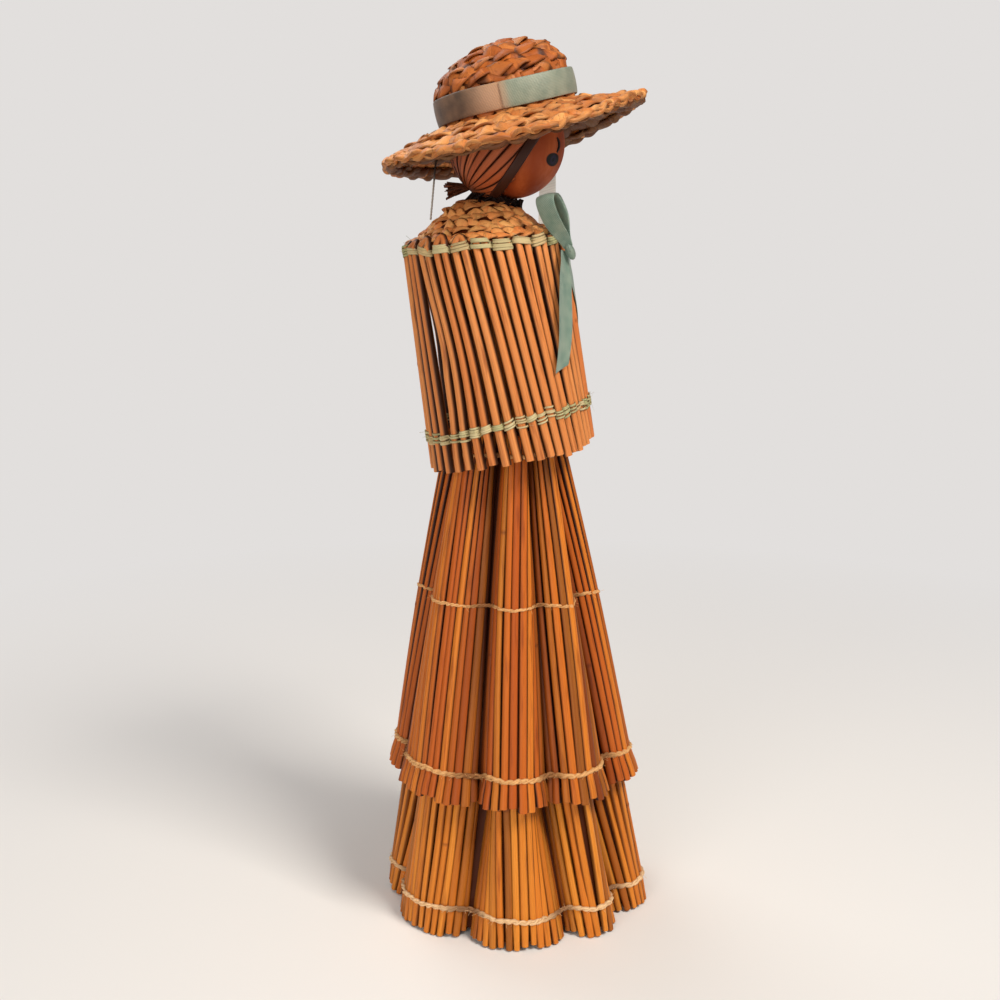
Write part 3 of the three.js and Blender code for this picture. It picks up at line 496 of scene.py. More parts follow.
def makeMesh(name, points, faces, finish, uv=None, marks=None, thickness=0.0, subdivide=0):
    mesh = bpy.data.meshes.new(name)
    mesh.from_pydata([tuple(p * mm) for p in points], [], faces)
    mesh.materials.append(finishes[finish])
    if uv:
        layer = mesh.uv_layers.new(name="cloth")
        for loop in mesh.loops:
            layer.data[loop.index].uv = uv[loop.vertex_index]
    for label, values in (marks or {}).items():
        mesh.attributes.new(label, "FLOAT", "POINT").data.foreach_set("value", values)
    piece = bpy.data.objects.new(name, mesh)
    scene.collection.objects.link(piece)
    if thickness:
        wall = piece.modifiers.new("thickness", "SOLIDIFY")
        wall.thickness, wall.offset = thickness * mm, 0.0
    if subdivide:
        rounding = piece.modifiers.new("round", "SUBSURF")
        rounding.levels = rounding.render_levels = subdivide
    if thickness or subdivide:
        graph = bpy.context.evaluated_depsgraph_get()
        finished = bpy.data.meshes.new_from_object(piece.evaluated_get(graph))
        piece.modifiers.clear()
        piece.data = finished
        finished.name = name
    for face in piece.data.polygons:
        face.use_smooth = True
    return piece


def settle(piece, body, slot, *nodes):
    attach(piece, body)
    if nodes:
        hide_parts(*nodes)


# skirt: two tiers of flutes

skirt = {"shares": (45, 36, 37, 39, 39, 39, 37, 38, 50), "firstValley": -30, "height": 150, "setBack": 4.4,
         "upperShift": (5.5, -2, 0, 0, 0, 0, 0, 0, 0), "lowerShift": (0, 4, 0, 0, 0, 0, 0, 0, 0),
         "waistShift": (17, 17, 6, 0, 0, 0, 0, 0, 0),
         "waistRadius": 17.4, "waistPleat": 8, "upperHem": 43, "upperRadius": 38.8, "upperPleat": 7,
         "lowerRadius": 42.5, "lowerPleat": 8, "flattening": 3, "overlap": 15, "root": 2.9, "tip": 2.3,
         "packing": 0.9, "archCap": 1.2, "clearance": 0.3, "bulge": 0.9, "steps": 10,
         "raggedHem": 1.6, "tipTaper": 0.8, "tipLength": 9, "standOff": 0.38, "bend": 0.5, "ringShare": 0.22,
         "flatness": 0.86, "flare": 1.1, "darkShare": 0.26, "shadeInset": 0.75, "upperTaper": 1.06,
         "upperGloom": 1.0, "lowerGloom": 0.6, "swell": (0.86, 1.05), "aside": 0.22, "ringSwell": 1.07,
         "ringHalf": 0.9, "bore": 0.62, "boreDepth": 0.5, "valleySpan": (0.52, 0.86), "valleyShade": 0.56,
         "creaseSpan": (0.8, 0.96), "creaseShade": 0.4, "footShade": 0.66}


def fluteList(shifts):  # the middle and the span of each flute
    total, bearing, valleys = sum(skirt["shares"]), skirt["firstValley"], []
    for share, moved in zip(skirt["shares"], shifts):
        valleys.append(math.radians(bearing + moved))
        bearing += 360 * share / total
    ends = valleys[1:] + [valleys[0] + 2 * math.pi]
    return [((a + b) / 2, b - a) for a, b in zip(valleys, ends)]


def fluteLevel(height, tip, pleat, span, diameter):
    gap = (diameter + skirt["clearance"]) / 2 / math.cos(span / 2)
    half = (tip - pleat) * math.tan(span / 2) - gap
    return {"height": height, "tip": tip, "pleat": pleat, "half": half, "diameter": diameter}


def upperTier(span):
    foot = fluteLevel(skirt["upperHem"], skirt["upperRadius"] - skirt["root"] / 2, skirt["upperPleat"], span,
                      skirt["root"])
    top = fluteLevel(skirt["height"], skirt["waistRadius"] - skirt["tip"] / 2, skirt["waistPleat"], span,
                     skirt["tip"])
    return foot, top


def lowerTier(span):
    upperFoot, upperTop = upperTier(span)
    height = skirt["upperHem"] + skirt["overlap"]
    foot = fluteLevel(0, skirt["lowerRadius"] - skirt["root"] / 2, skirt["lowerPleat"], span, skirt["root"])
    nest = skirt["root"] + skirt["clearance"]
    top = {"height": height, "diameter": skirt["tip"]}
    for key in ("tip", "half"):
        atHem = upperFoot[key] - nest
        straightOn = atHem + (atHem - foot[key]) * skirt["overlap"] / skirt["upperHem"]
        share = (height - upperFoot["height"]) / (upperTop["height"] - upperFoot["height"])
        top[key] = min(lerp(upperFoot[key], upperTop[key], share) - nest, straightOn)
    gap = (skirt["tip"] + skirt["clearance"]) / 2 / math.cos(span / 2)
    top["pleat"] = top["tip"] - (top["half"] + gap) / math.tan(span / 2)
    return foot, top


def fromFlute(bearing, height, across, outward):
    sine, cosine = math.sin(bearing), math.cos(bearing)
    narrow = 1 - skirt["flattening"] / skirt["lowerRadius"] * (1 - height / skirt["height"])
    x = narrow * (-cosine * outward + sine * across)
    y = -sine * outward - cosine * across + skirt["setBack"] * height / skirt["height"]
    return Vector((x, y, height)) + shift


def archLine(level):
    tip, half, pleat = level["tip"], level["half"], level["pleat"]
    cap = min(pleat, skirt["archCap"] * half)
    line = [Vector((-half, tip - pleat)), Vector((-half, tip - cap))]
    for i in range(1, 25):
        angle = math.pi * (1 - i / 24)
        line.append(Vector((half * math.cos(angle), tip - cap + cap * math.sin(angle))))
    return line + [Vector((half, tip - pleat))]


def rowOutward(row, i):
    along = row[min(i + 1, len(row) - 1)] - row[max(i - 1, 0)]
    return Vector((along.y, -along.x, 0)).normalized()


# every stalk of a tier, in order round the doll: its foot, its top and the way it looks
def tierStalks(tierOf, footShift, topShift):
    found = []
    for (bearing, span), (topBearing, topSpan) in zip(fluteList(footShift), fluteList(topShift)):
        foot, top = tierOf(span)[0], tierOf(topSpan)[1]
        gaps = math.ceil(lineLength(archLine(foot)) / (skirt["packing"] * foot["diameter"]))
        feet = [fromFlute(bearing, foot["height"], *p) for p in evenly(archLine(foot), gaps)]
        tops = [fromFlute(topBearing, top["height"], *p) for p in evenly(archLine(top), gaps)]
        for i in range(gaps + 1):
            depth = abs(2 * i / gaps - 1)
            stalk = {"foot": feet[i], "top": tops[i], "facing": rowOutward(feet, i), "depth": depth,
                     "girths": (foot["diameter"] / 2, top["diameter"] / 2), "wave": dice.uniform(-1, 1),
                     "rag": dice.random(), "tone": dice.random(), "joint": dice.random(),
                     "swell": dice.uniform(*skirt["swell"]), "dark": dice.random(),
                     "aside": dice.uniform(-skirt["aside"], skirt["aside"])}
            found.append(stalk)
    return found


def stalkPoint(stalk, share, bulge):
    side = Vector((-stalk["facing"].y, stalk["facing"].x, 0))
    arch = math.sin(math.pi * min(max(share, 0), 1))
    point = stalk["foot"].lerp(stalk["top"], share)
    aside = stalk["wave"] * skirt["bend"] * arch + stalk["aside"]
    return point + stalk["facing"] * bulge * arch + side * aside


def stalkLine(stalk, bulge, taper, gloom):
    length = (stalk["top"] - stalk["foot"]).length
    start = (skirt["standOff"] + skirt["raggedHem"] * stalk["rag"] ** 2) / length
    tip = start + skirt["tipLength"] / length
    shares = [lerp(start, 1, i / skirt["steps"]) for i in range(skirt["steps"] + 1)]
    joint = None
    if stalk["joint"] < skirt["ringShare"]:  # some stalks show a joint of the straw
        joint = lerp(0.08, 0.85, stalk["joint"] / skirt["ringShare"])
        ringHalf = skirt["ringHalf"] / length
        shares = sorted(shares + [joint - ringHalf, joint, joint + ringHalf])
    shares = sorted(shares + [tip * 0.4, tip * 0.7, tip])
    points = [stalkPoint(stalk, s, bulge) for s in shares]
    if taper > 1:  # the upper tier's tips fan out under their thread
        points = [p + stalk["facing"] * skirt["flare"] * smooth(tip, start, s) for p, s in zip(points, shares)]
    swell = [skirt["ringSwell"] if s == joint else 1.0 for s in shares]
    girth = [lerp(*stalk["girths"], s) * stalk["swell"] * w * lerp(taper, 1.0, smooth(start, tip, s))
             for s, w in zip(shares, swell)]
    # painted shade: stalks deep in the valleys between flutes are darkened, less towards the foot; a share of
    # stalks at random are darker as well
    valley = skirt["valleyShade"] * smooth(*skirt["valleySpan"], stalk["depth"])
    valley += skirt["creaseShade"] * smooth(*skirt["creaseSpan"], stalk["depth"])
    dark = 0.15 + 1.6 * stalk["dark"] if stalk["dark"] < skirt["darkShare"] else 0.0
    return {"points": points, "girth": girth, "facing": stalk["facing"], "tone": stalk["tone"],
            "shade": [max(gloom * valley * lerp(skirt["footShade"], 1.0, smooth(0.0, 0.5, s)), dark)
                      for s in shares],
            "ring": [1.0 if w > 1 else 0.0 for w in swell]}


# painted shade: a dark sheet inside the stalks stands for the shade that shows between them
def skirtShadeSheet(name, stalks, bulge):
    shares = [0.04, 0.2, 0.4, 0.6, 0.8, 0.98]
    points = [stalkPoint(stalk, share, bulge) - stalk["facing"] * skirt["shadeInset"]
              for share in shares for stalk in stalks]
    around, faces = len(stalks), []
    for i in range(len(shares) - 1):
        for k in range(around):
            a, b = i * around + k, i * around + (k + 1) % around
            faces.append((a, b, b + around, a + around))
    return makeMesh(name, points, faces, "shadeSheet", thickness=0.2)


upperStalks = tierStalks(upperTier, skirt["upperShift"], skirt["waistShift"])
lowerStalks = tierStalks(lowerTier, skirt["lowerShift"], skirt["upperShift"])
fluteCount = len(skirt["shares"])
stalkEnds = {"flatness": skirt["flatness"], "bore": skirt["bore"], "boreDepth": skirt["boreDepth"]}
upperLines = [stalkLine(s, skirt["bulge"], skirt["upperTaper"], skirt["upperGloom"]) for s in upperStalks]
upperSkirt = makeStrands("upperSkirt", upperLines, "straw", sides=10, **stalkEnds)
settle(upperSkirt, "figure", "straw", *["upper_flute_%d" % (i + 1) for i in range(fluteCount)])
lowerLines = [stalkLine(s, 0.0, skirt["tipTaper"], skirt["lowerGloom"]) for s in lowerStalks]
lowerSkirt = makeStrands("lowerSkirt", lowerLines, "deepStraw", sides=10, **stalkEnds)
settle(lowerSkirt, "figure", "deep_straw", *["lower_flute_%d" % (i + 1) for i in range(fluteCount)])
settle(skirtShadeSheet("upperShadeSheet", upperStalks, skirt["bulge"]), "figure", "straw")
settle(skirtShadeSheet("lowerShadeSheet", lowerStalks, 0.0), "figure", "deep_straw")
print("skirt made:", len(upperStalks), "and", len(lowerStalks), "stalks")


# skirt threads: plies of soft yarn laid over the stalks, with loose fibres

yarn = {"midHeight": 101, "waistHeight": 144, "hemRise": 9, "step": 0.45, "bridge": 0.86, "wander": 0.3,
        "plies": 3, "dip": 0.45, "hairGirth": 0.04, "hairLength": 1.5}


def yarnPath(stalks, height, bulge, ply):
    path = []
    for stalk in stalks:
        if stalk["depth"] > yarn["bridge"]:
            continue
        share = (height - stalk["foot"].z) / (stalk["top"].z - stalk["foot"].z)
        reach = lerp(*stalk["girths"], share) * skirt["flatness"] + 0.4 * ply
        path.append(Vector((*(stalkPoint(stalk, share, bulge) + stalk["facing"] * reach), stalk["depth"])))
    dipped = []
    for a, b in zip(path, path[1:] + path[:1]):
        between = a.lerp(b, 0.5)
        inward = Vector((between.x, between.y, 0, 0)).normalized() * yarn["dip"]
        dipped += [a, between - inward]
    return evenly(dipped + dipped[:1], int(lineLength(dipped) / yarn["step"]))


def looseHair(root, out, length):
    astray, curl = (Vector([dice.uniform(-1, 1) for _ in range(3)]) for _ in range(2))
    way = (out * dice.uniform(0.1, 1) + astray).normalized()
    return {"points": [root + way * length * t + curl * 0.5 * t * t for t in (0, 0.4, 0.75, 1)],
            "girth": yarn["hairGirth"], "facing": out, "tone": dice.random()}


def yarnLines(stalks, height, bulge, ply, lay, hairs):
    depths, up = yarnPath(stalks, height, bulge, ply), Vector((0, 0, 1))
    # painted shade: the yarn darkens where it crosses the valleys
    path, shades = [p.to_3d() for p in depths], [0.8 * smooth(0.4, 0.86, p[3]) for p in depths]
    lines, outs = [], []
    for i, point in enumerate(path):
        along = path[(i + 1) % (len(path) - 1)] - path[i - 1 if i else -2]
        outs.append(along.cross(up).normalized())
    for strand in range(yarn["plies"]):
        points, girths, phase = [], [], 2 * math.pi * strand / yarn["plies"]
        for i, point in enumerate(path):
            walked = i * yarn["step"]
            angle = 2 * math.pi * walked / lay + phase + 0.9 * math.sin(walked * 0.31 + strand)
            drift = yarn["wander"] * (math.sin(walked * 0.17) + 0.5 * math.sin(walked * 0.53))
            drift += 0.25 * ply * math.sin(walked * 1.3 + 2.1 * strand)
            rise = 1.05 * ply * math.sin(angle) + drift
            points.append(point + outs[i] * 0.5 * ply * math.cos(angle) + up * rise)
            girths.append(ply * (1 + 0.2 * math.sin(walked * 0.9 + phase) + dice.uniform(-0.1, 0.1)))
        lines.append({"points": points, "girth": girths, "facing": outs, "tone": 0.2 + 0.4 * dice.random(),
                      "shade": shades})
    for _ in range(hairs):
        i = dice.randrange(len(path))
        lines.append(looseHair(path[i] + outs[i] * ply, outs[i], yarn["hairLength"] * dice.uniform(0.5, 1.3)))
    return lines


threadRows = (  # piece, node, stalks, height, ply, lay, loose fibres, finish
    ("waistThread", "waist_thread", upperStalks, yarn["waistHeight"], 0.36, 3.6, 10, "midThread"),
    ("midThread", "skirt_mid_thread", upperStalks, yarn["midHeight"], 0.27, 4.0, 80, "midThread"),
    ("upperHemThread", "upper_hem_thread", upperStalks, skirt["upperHem"] + yarn["hemRise"], 0.43, 6.0, 260,
     "midThread"),
    ("lowerHemThread", "lower_hem_thread", lowerStalks, yarn["hemRise"], 0.43, 6.0, 220, "thread"),
)
for pieceName, nodeName, stalks, height, ply, lay, hairs, finish in threadRows:
    bulge = skirt["bulge"] if stalks is upperStalks else 0.0
    thread = makeStrands(pieceName, yarnLines(stalks, height, bulge, ply, lay, hairs), finish, sides=7)
    settle(thread, "figure", "thread", nodeName)
print("skirt threads made")


# torso: a tied bundle of stalks inside, which leans back

torso = {"lean": 7.9, "setBack": 1.7, "hem": 141.2, "length": 63.8, "stem": 18, "stemTop": 70.2, "stalk": 1.0,
         "rings": ((0, 1), (2.05, 6), (4.05, 12)), "innerRadius": 13.5, "innerCount": 29, "innerStalk": 1.3,
         "innerFoot": 12, "innerTop": 62, "innerShade": 0.6}
torsoFrame = move(*shift) @ move(0, torso["setBack"], torso["hem"]) @ turn(-torso["lean"], "X")


def bundleLines():
    lines = []
    for radius, count in torso["rings"]:
        for i in range(count):
            angle = 2 * math.pi * i / count
            facing = torsoFrame.to_3x3() @ Vector((math.cos(angle), math.sin(angle), 0))
            foot = -torso["stem"] + dice.uniform(0, 1.5)
            ends = [torsoFrame @ Vector((radius * math.cos(angle), radius * math.sin(angle), z))
                    for z in (foot, lerp(foot, torso["stemTop"], 0.5), torso["stemTop"] - 0.12 * radius ** 2)]
            lines.append({"points": ends, "girth": torso["stalk"], "facing": facing, "tone": dice.random()})
    # painted shade: this inner layer is darkened by innerShade
    for i in range(torso["innerCount"]):  # the layer seen between the cape's stalks
        angle = 2 * math.pi * i / torso["innerCount"]
        way = Vector((math.cos(angle), math.sin(angle), 0))
        lean = Vector((0, dice.uniform(-1.5, 0.5), 0))
        ends = [torsoFrame @ (way * (torso["innerRadius"] + dice.uniform(-0.5, 0.5)) + lean * t
                + Vector((0, 0, lerp(torso["innerFoot"], torso["innerTop"], t)))) for t in (0, 0.5, 1)]
        lines.append({"points": ends, "girth": torso["innerStalk"], "facing": torsoFrame.to_3x3() @ way,
                      "tone": dice.random(), "shade": torso["innerShade"]})
    return lines


torsoCore = makeStrands("torsoCore", bundleLines(), "deepStraw", sides=10, bore=0.6)
settle(torsoCore, "figure", "deep_straw", "torso_core")


# plait: three flat straws braided, sewn round in a spiral over a surface

plait = {"row": 5.2, "width": 7.4, "straw": 4.5, "thickness": 0.2, "lift": 0.36, "period": 17.5, "step": 0.6,
         "tilt": 0.16, "rough": 0.3, "tip": 0.42, "pale": (26, 38), "gaps": (0.85, 0.26), "broad": 1.14,
         "dark": 0.0, "dim": 0.0}


# surface(s, bearing) gives a point; s runs down the profile from its top
def surfaceFrame(surface, s, bearing):
    point = surface(s, bearing)
    across = (surface(s + 0.05, bearing) - surface(s - 0.05, bearing)).normalized()
    along = surface(s, bearing + 0.01) - surface(s, bearing - 0.01)
    along = (along - across * along.dot(across)).normalized()
    normal = along.cross(across)
    return point, across, along, normal


def braidLines(surface, start, end, upward, settings):
    stations, s, bearing, walked, side = [], start, 0.0, 0.0, 0
    while s < end:
        point, across, along, normal = surfaceFrame(surface, s, bearing)
        side = side or math.copysign(1, normal.dot(upward))
        normal *= side
        stations.append((point, across, normal, walked, s))
        around = max((surface(s, bearing + 0.02) - point).length / 0.02, 1.4)
        step = settings["step"] / around
        bearing += step
        s += settings["row"] * step / (2 * math.pi)
        walked += settings["step"]
    swing = (settings["width"] - settings["straw"]) / 2
    lines = []
    for k in range(3):
        points, facings, girths, shades, tones = [], [], [], [], []
        for point, across, normal, walked, s in stations:
            angle = 2 * math.pi * (walked / settings["period"] + k / 3)
            angle += 0.35 * math.sin(walked * 0.19 + 2 * k)
            side = swing * math.sin(angle)
            lift = settings["lift"] * math.sin(2 * angle) + settings["tilt"] * side
            lift += settings["rough"] * math.sin(walked * 0.83 + 2.3 * k) * math.sin(walked * 0.29 + k)
            side += settings["rough"] * math.sin(walked * 0.47 + 1.7 * k)
            points.append(point + across * side + normal * lift)
            tipped = settings["tip"] * math.sin(walked * 0.61 + 1.9 * k) * math.sin(walked * 0.23 + 0.7 * k)
            facings.append(normal + across * (tipped - 0.5 * math.cos(angle) * settings["lift"]))
            # painted light: the outer rows' paler tone stands for the light on the brim and on the yoke away
            # from the neck
            outer = smooth(*settings["pale"], s)  # the outer rows are broader and paler
            broad = settings["straw"] / 2 * lerp(1.0, settings["broad"], outer)
            girths.append(broad * (1 + 0.16 * math.sin(walked * 0.37 + k * 1.7) * math.sin(walked * 0.9)))
            # painted shade: a strand darkens where it passes under another; dark shades a whole braid, dim the
            # rows near its top
            under = lerp(*settings["gaps"], outer) * smooth(-0.2, -0.9, math.sin(2 * angle))
            shades.append(max(under, settings["dark"], settings["dim"] * smooth(12, 5, s)))
            mottle = 0.5 * math.sin(walked * 0.11 + 2.1 * k) * math.sin(walked * 0.031 + k)
            tones.append(lerp(1.0, 0.3, outer) + mottle)
        lines.append({"points": points, "facing": facings, "girth": girths, "shade": shades, "tone": tones})
    return lines


# painted shade: a dark shell under a plait, seen through its gaps
def shadeShell(name, surface, end, finish, thickness):
    rings, around = 22, 56
    points, faces = [surface(0.02, 0)], []
    for i in range(1, rings + 1):
        for k in range(around):
            points.append(surface(end * i / rings, 2 * math.pi * k / around))
    for k in range(around):
        faces.append((0, 1 + (k + 1) % around, 1 + k))
    for i in range(rings - 1):
        for k in range(around):
            a, b = 1 + i * around + k, 1 + i * around + (k + 1) % around
            faces.append((a, b, b + around, a + around))
    return makeMesh(name, points, faces, finish, thickness=thickness)


# yoke: a plait over a shallow dome

yoke = {"depth": 19.8, "breadth": 22, "rise": 9.4, "lean": 3, "ridge": 1.35, "flareStart": 18.6,
        "flareSlope": math.radians(32), "crest": 2.0, "crestFade": (17, 5), "braidStart": 2.0, "braidOver": 0.4,
        "shadeOver": 1.0}
yokeFrame = torsoFrame @ move(0, 0, torso["length"]) @ turn(torso["lean"] - yoke["lean"], "X")
yokeBall = (yoke["depth"] ** 2 + yoke["rise"] ** 2) / (2 * yoke["rise"])
yokeRim = math.asin(yoke["depth"] / yokeBall)
yokeStretch = yoke["breadth"] / yoke["depth"]


def yokeSurface(s, bearing):  # a ball's cap that flattens out at its edge
    slope, flare = min(s, yoke["flareStart"]) / yokeBall, max(s - yoke["flareStart"], 0)
    radius = yokeBall * math.sin(slope) + flare * math.cos(yoke["flareSlope"])
    height = yoke["rise"] - yokeBall * (1 - math.cos(slope)) - flare * math.sin(yoke["flareSlope"])
    height += yoke["crest"] * smooth(*yoke["crestFade"], s)
    return yokeFrame @ Vector((-radius * yokeStretch * math.sin(bearing), -radius * math.cos(bearing), height))


# painted shade: dim darkens the rows near the neck, under the head
yokeBraid = dict(plait, row=4.3, width=6.2, straw=3.6, period=12.0, lift=0.4, dim=0.55, pale=(4, 10),
                 gaps=(0.6, 0.55), broad=1.0)
yokeEnd = yokeBall * yokeRim
yokeLines = braidLines(yokeSurface, yoke["braidStart"], yokeEnd + yoke["braidOver"], Vector((0, 0, 1)),
                       yokeBraid)
yokePlaitLit = makeStrands("yokePlaitLit", yokeLines, "yokePlaitLit", sides=8, flatness=plait["thickness"])
settle(yokePlaitLit, "figure", "plait", "yoke")
settle(shadeShell("yokeShadeShell", yokeSurface, yokeEnd + yoke["shadeOver"], "shadeSheet", 0.4), "figure", "plait")
print("yoke made")


# cape: stalks folded in half over the yoke's rim

cape = {"frontPairs": 20, "backPairs": 4, "slit": 0.5, "sweep": 18, "hemDepth": 23.6, "hemBreadth": 26.7,
        "sideRise": 3, "foldDrop": 0.4, "foldHalf": 1.28, "foldGirth": 1.22, "hemGirth": 1.4, "foldRise": 0.5,
        "foldInward": 1.5, "ragged": 1.0, "steps": 14, "bend": 0.35, "parting": 3.1, "partingFade": 2.6,
        "backRise": 2.2, "backRiseAt": 2.15, "backRiseSpan": 0.5, "pinch": 0.6, "pinchLength": 0.12,
        "pinched": 0.3, "frontTrim": 3.2, "frontThin": 0.16, "foldClear": 0.3, "foldReach": 1.15,
        "tones": (0.15, 0.75), "ringShare": 0.2, "ringSwell": 1.08, "ringHalf": 0.014, "locks": 13}
rimEdge = yoke["depth"] + yoke["ridge"] * math.sin(yokeRim)
foldDepth = rimEdge + cape["foldClear"] + cape["foldReach"]
foldBreadth = rimEdge * yokeStretch + cape["foldClear"] + cape["foldReach"]
foldHeight = yoke["ridge"] * math.cos(yokeRim) - cape["foldDrop"]
yokeInTorso = move(0, 0, torso["length"]) @ turn(torso["lean"] - yoke["lean"], "X")
pairPitch = (2 * math.pi - 2 * math.radians(cape["slit"])) / (cape["frontPairs"] + cape["backPairs"])


def aroundCape(bearing, breadth, depth, height):
    return Vector((-breadth * math.sin(bearing), -depth * math.cos(bearing), height))


def capePoint(foldBearing, hemBearing, share):
    fold = yokeInTorso @ aroundCape(foldBearing, foldBreadth, foldDepth, foldHeight)
    hemRise = cape["sideRise"] * math.sin(hemBearing) ** 2
    return fold.lerp(aroundCape(hemBearing, cape["hemBreadth"], cape["hemDepth"], hemRise), share)


def sweptBearing(bearing):
    return bearing - math.radians(cape["sweep"]) * math.sin(bearing)


def spreadBearing(bearing):
    corner = sweptBearing(cape["frontPairs"] * pairPitch / 2) + math.radians(cape["slit"])
    return math.pi + (bearing - math.pi) * (math.pi - corner) / (cape["backPairs"] * pairPitch / 2)


def capePairs():
    pairs = []
    for count, middle, hemOf in ((cape["frontPairs"], 0.0, sweptBearing),
                                 (cape["backPairs"], math.pi, spreadBearing)):
        for i in range(count):
            bearing = middle + (i - (count - 1) / 2) * pairPitch
            legs = []
            for side in (-1, 1):
                fromEnd = 2 * min(i, count - 1 - i) + (0 if side * bearing > 0 else 1)
                part = cape["parting"] * math.exp(-fromEnd / cape["partingFade"]) if middle == 0 else 0
                legs.append({"fold": bearing + side * cape["foldHalf"] / foldDepth, "wave": dice.uniform(-1, 1),
                             "hem": hemOf(bearing + side * pairPitch / 4),
                             "part": -math.copysign(part, bearing),
                             "pinched": cape["pinched"] if fromEnd == 0 else 0.0, "rag": dice.random()})
            pairs.append({"bearing": bearing, "legs": legs, "tone": dice.uniform(*cape["tones"]),
                          "joint": dice.random()})
    return pairs


def legPoint(leg, share):
    arch = math.sin(math.pi * min(max(share, 0), 1))
    pinch = leg["pinched"] * math.exp(-((share - cape["pinch"]) / cape["pinchLength"]) ** 2)
    aside = arch * leg["wave"] * cape["bend"] + arch ** 2 * leg["part"] * (1 - pinch)
    side = Vector((-math.cos(leg["fold"]), math.sin(leg["fold"]), 0))
    return capePoint(leg["fold"], leg["hem"], share) + side * aside


def capeLine(pair):
    outward = aroundCape(pair["bearing"], 1, 1, 0)
    points, girth, rings = [], [], []
    down, up = pair["legs"]
    fromCorner = (abs(pair["bearing"]) - cape["backRiseAt"]) / cape["backRiseSpan"]
    foldRise = cape["foldRise"] + cape["backRise"] * math.exp(-fromCorner ** 2)
    for leg, order in ((down, -1), (up, 1)):
        trim = cape["frontTrim"] * smooth(0.95, 0.25, abs(leg["hem"]))  # the hem rises at the front
        end = 1 - (cape["ragged"] * leg["rag"] + trim) / torso["length"]
        thin = 1 - cape["frontThin"] * smooth(0.5, 1.0, math.cos(leg["hem"]))
        shares = [lerp(0.012, end, i / cape["steps"]) for i in range(cape["steps"] + 1)]
        ring = lerp(0.15, 0.9, abs(leg["wave"])) if pair["joint"] < cape["ringShare"] else None
        if ring:
            shares = sorted(shares + [ring - cape["ringHalf"], ring, ring + cape["ringHalf"]])
        if order < 0:
            shares.reverse()
        legPoints = [legPoint(leg, s) for s in shares]
        size = [lerp(cape["foldGirth"], cape["hemGirth"] * thin, s) * (cape["ringSwell"] if s == ring else 1.0)
                for s in shares]
        if order > 0:  # the fold between both legs
            a, b = points[-1], legPoints[0]
            for t in (0.1, 0.3, 0.5, 0.7, 0.9):
                rise = math.sin(math.pi * t) ** 0.6
                point = a.lerp(b, t) + Vector((0, 0, foldRise * rise))
                points.append(point - outward * cape["foldInward"] * rise)
                girth.append(cape["foldGirth"] * (1.0 - 0.12 * rise))
                rings.append(0.25)
        points += legPoints
        girth += size
        rings += [1.0 if s == ring else 0.0 for s in shares]
    facing = torsoFrame.to_3x3() @ outward
    return {"points": [torsoFrame @ p for p in points], "girth": girth, "facing": facing, "tone": pair["tone"],
            "ring": rings}


pairs = capePairs()
capeStalks = makeStrands("cape", [capeLine(p) for p in pairs], "capeStraw", sides=10, bore=0.6)
settle(capeStalks, "figure", "straw", *["cape_lock_%d" % (i + 1) for i in range(cape["locks"])])
print("cape made:", 2 * len(pairs), "legs")


# cape threads: wound round each pair under the folds, and round each leg above the hem

winding = {"topFront": 0.7, "topBack": 1.6, "topTurns": 4.5, "topHeight": 2.0, "topStrand": 0.36,
           "topWide": 0.25, "topDeep": 0.28, "hemBack": 9.6, "hemFront": 15, "hemTurns": 4.5, "hemHeight": 2.3,
           "hemStrand": 0.32, "hemWide": 0.22, "hemDeep": 0.26, "flatness": 0.5, "samples": 14, "jitter": 0.42,
           "askew": 0.24, "narrow": 0.8, "hairs": 150, "hairLength": 2.4}


def coil(centre, side, out, down, halfWidth, halfDepth, turns, height):
    count = int(turns * winding["samples"])
    points, facings, askew = [], [], dice.uniform(-1, 1) * winding["askew"]
    for k in range(count + 1):
        angle = 2 * math.pi * turns * k / count
        wide = halfWidth * lerp(winding["narrow"], 1.0, smooth(0, 0.7, k / count))
        ring = side * wide * math.cos(angle) + out * halfDepth * math.sin(angle)
        if k % (winding["samples"] // 2) == 0:
            astray = dice.uniform(-1, 1) * winding["jitter"]
        slant = askew * wide * math.cos(angle)
        points.append(centre + ring + down * (height * (k / count - 0.5) + astray + slant))
        facings.append((ring + out * 0.01).normalized())
    return points, facings


def windLines(places, strand):
    points, facings, girths, tones = [], [], [], []
    for place in places:
        more, ways = coil(*place)
        points += [torsoFrame @ p for p in more]
        facings += [torsoFrame.to_3x3() @ w for w in ways]
        girths += [strand * dice.uniform(0.9, 1.1)] * len(more)
        tones += [dice.random()] * len(more)
    lines = [{"points": points, "facing": facings, "girth": girths, "tone": tones}]
    for _ in range(winding["hairs"]):
        i = dice.randrange(len(points))
        lines.append(looseHair(points[i], facings[i], winding["hairLength"] * dice.uniform(0.4, 1.2)))
    return lines


def topPlaces():
    places = []
    for pair in pairs:
        behind = smooth(1.7, 2.3, abs(pair["bearing"] % (2 * math.pi)))
        drop = lerp(winding["topFront"], winding["topBack"], behind)
        share = (drop + dice.uniform(-0.4, 0.4)) / torso["length"]
        a, b = (legPoint(leg, share) for leg in pair["legs"])
        down = (legPoint(pair["legs"][0], share + 0.1) - a).normalized()
        side = (b - a).normalized()
        out = aroundCape(pair["bearing"], 1, 1, 0)
        height = winding["topHeight"] * dice.uniform(0.7, 1.25)
        halfWidth = (b - a).length / 2 + cape["foldGirth"] + winding["topWide"]
        halfDepth = cape["foldGirth"] + winding["topDeep"]
        places.append(((a + b) / 2, side, out, down, halfWidth, halfDepth, winding["topTurns"], height))
    return places


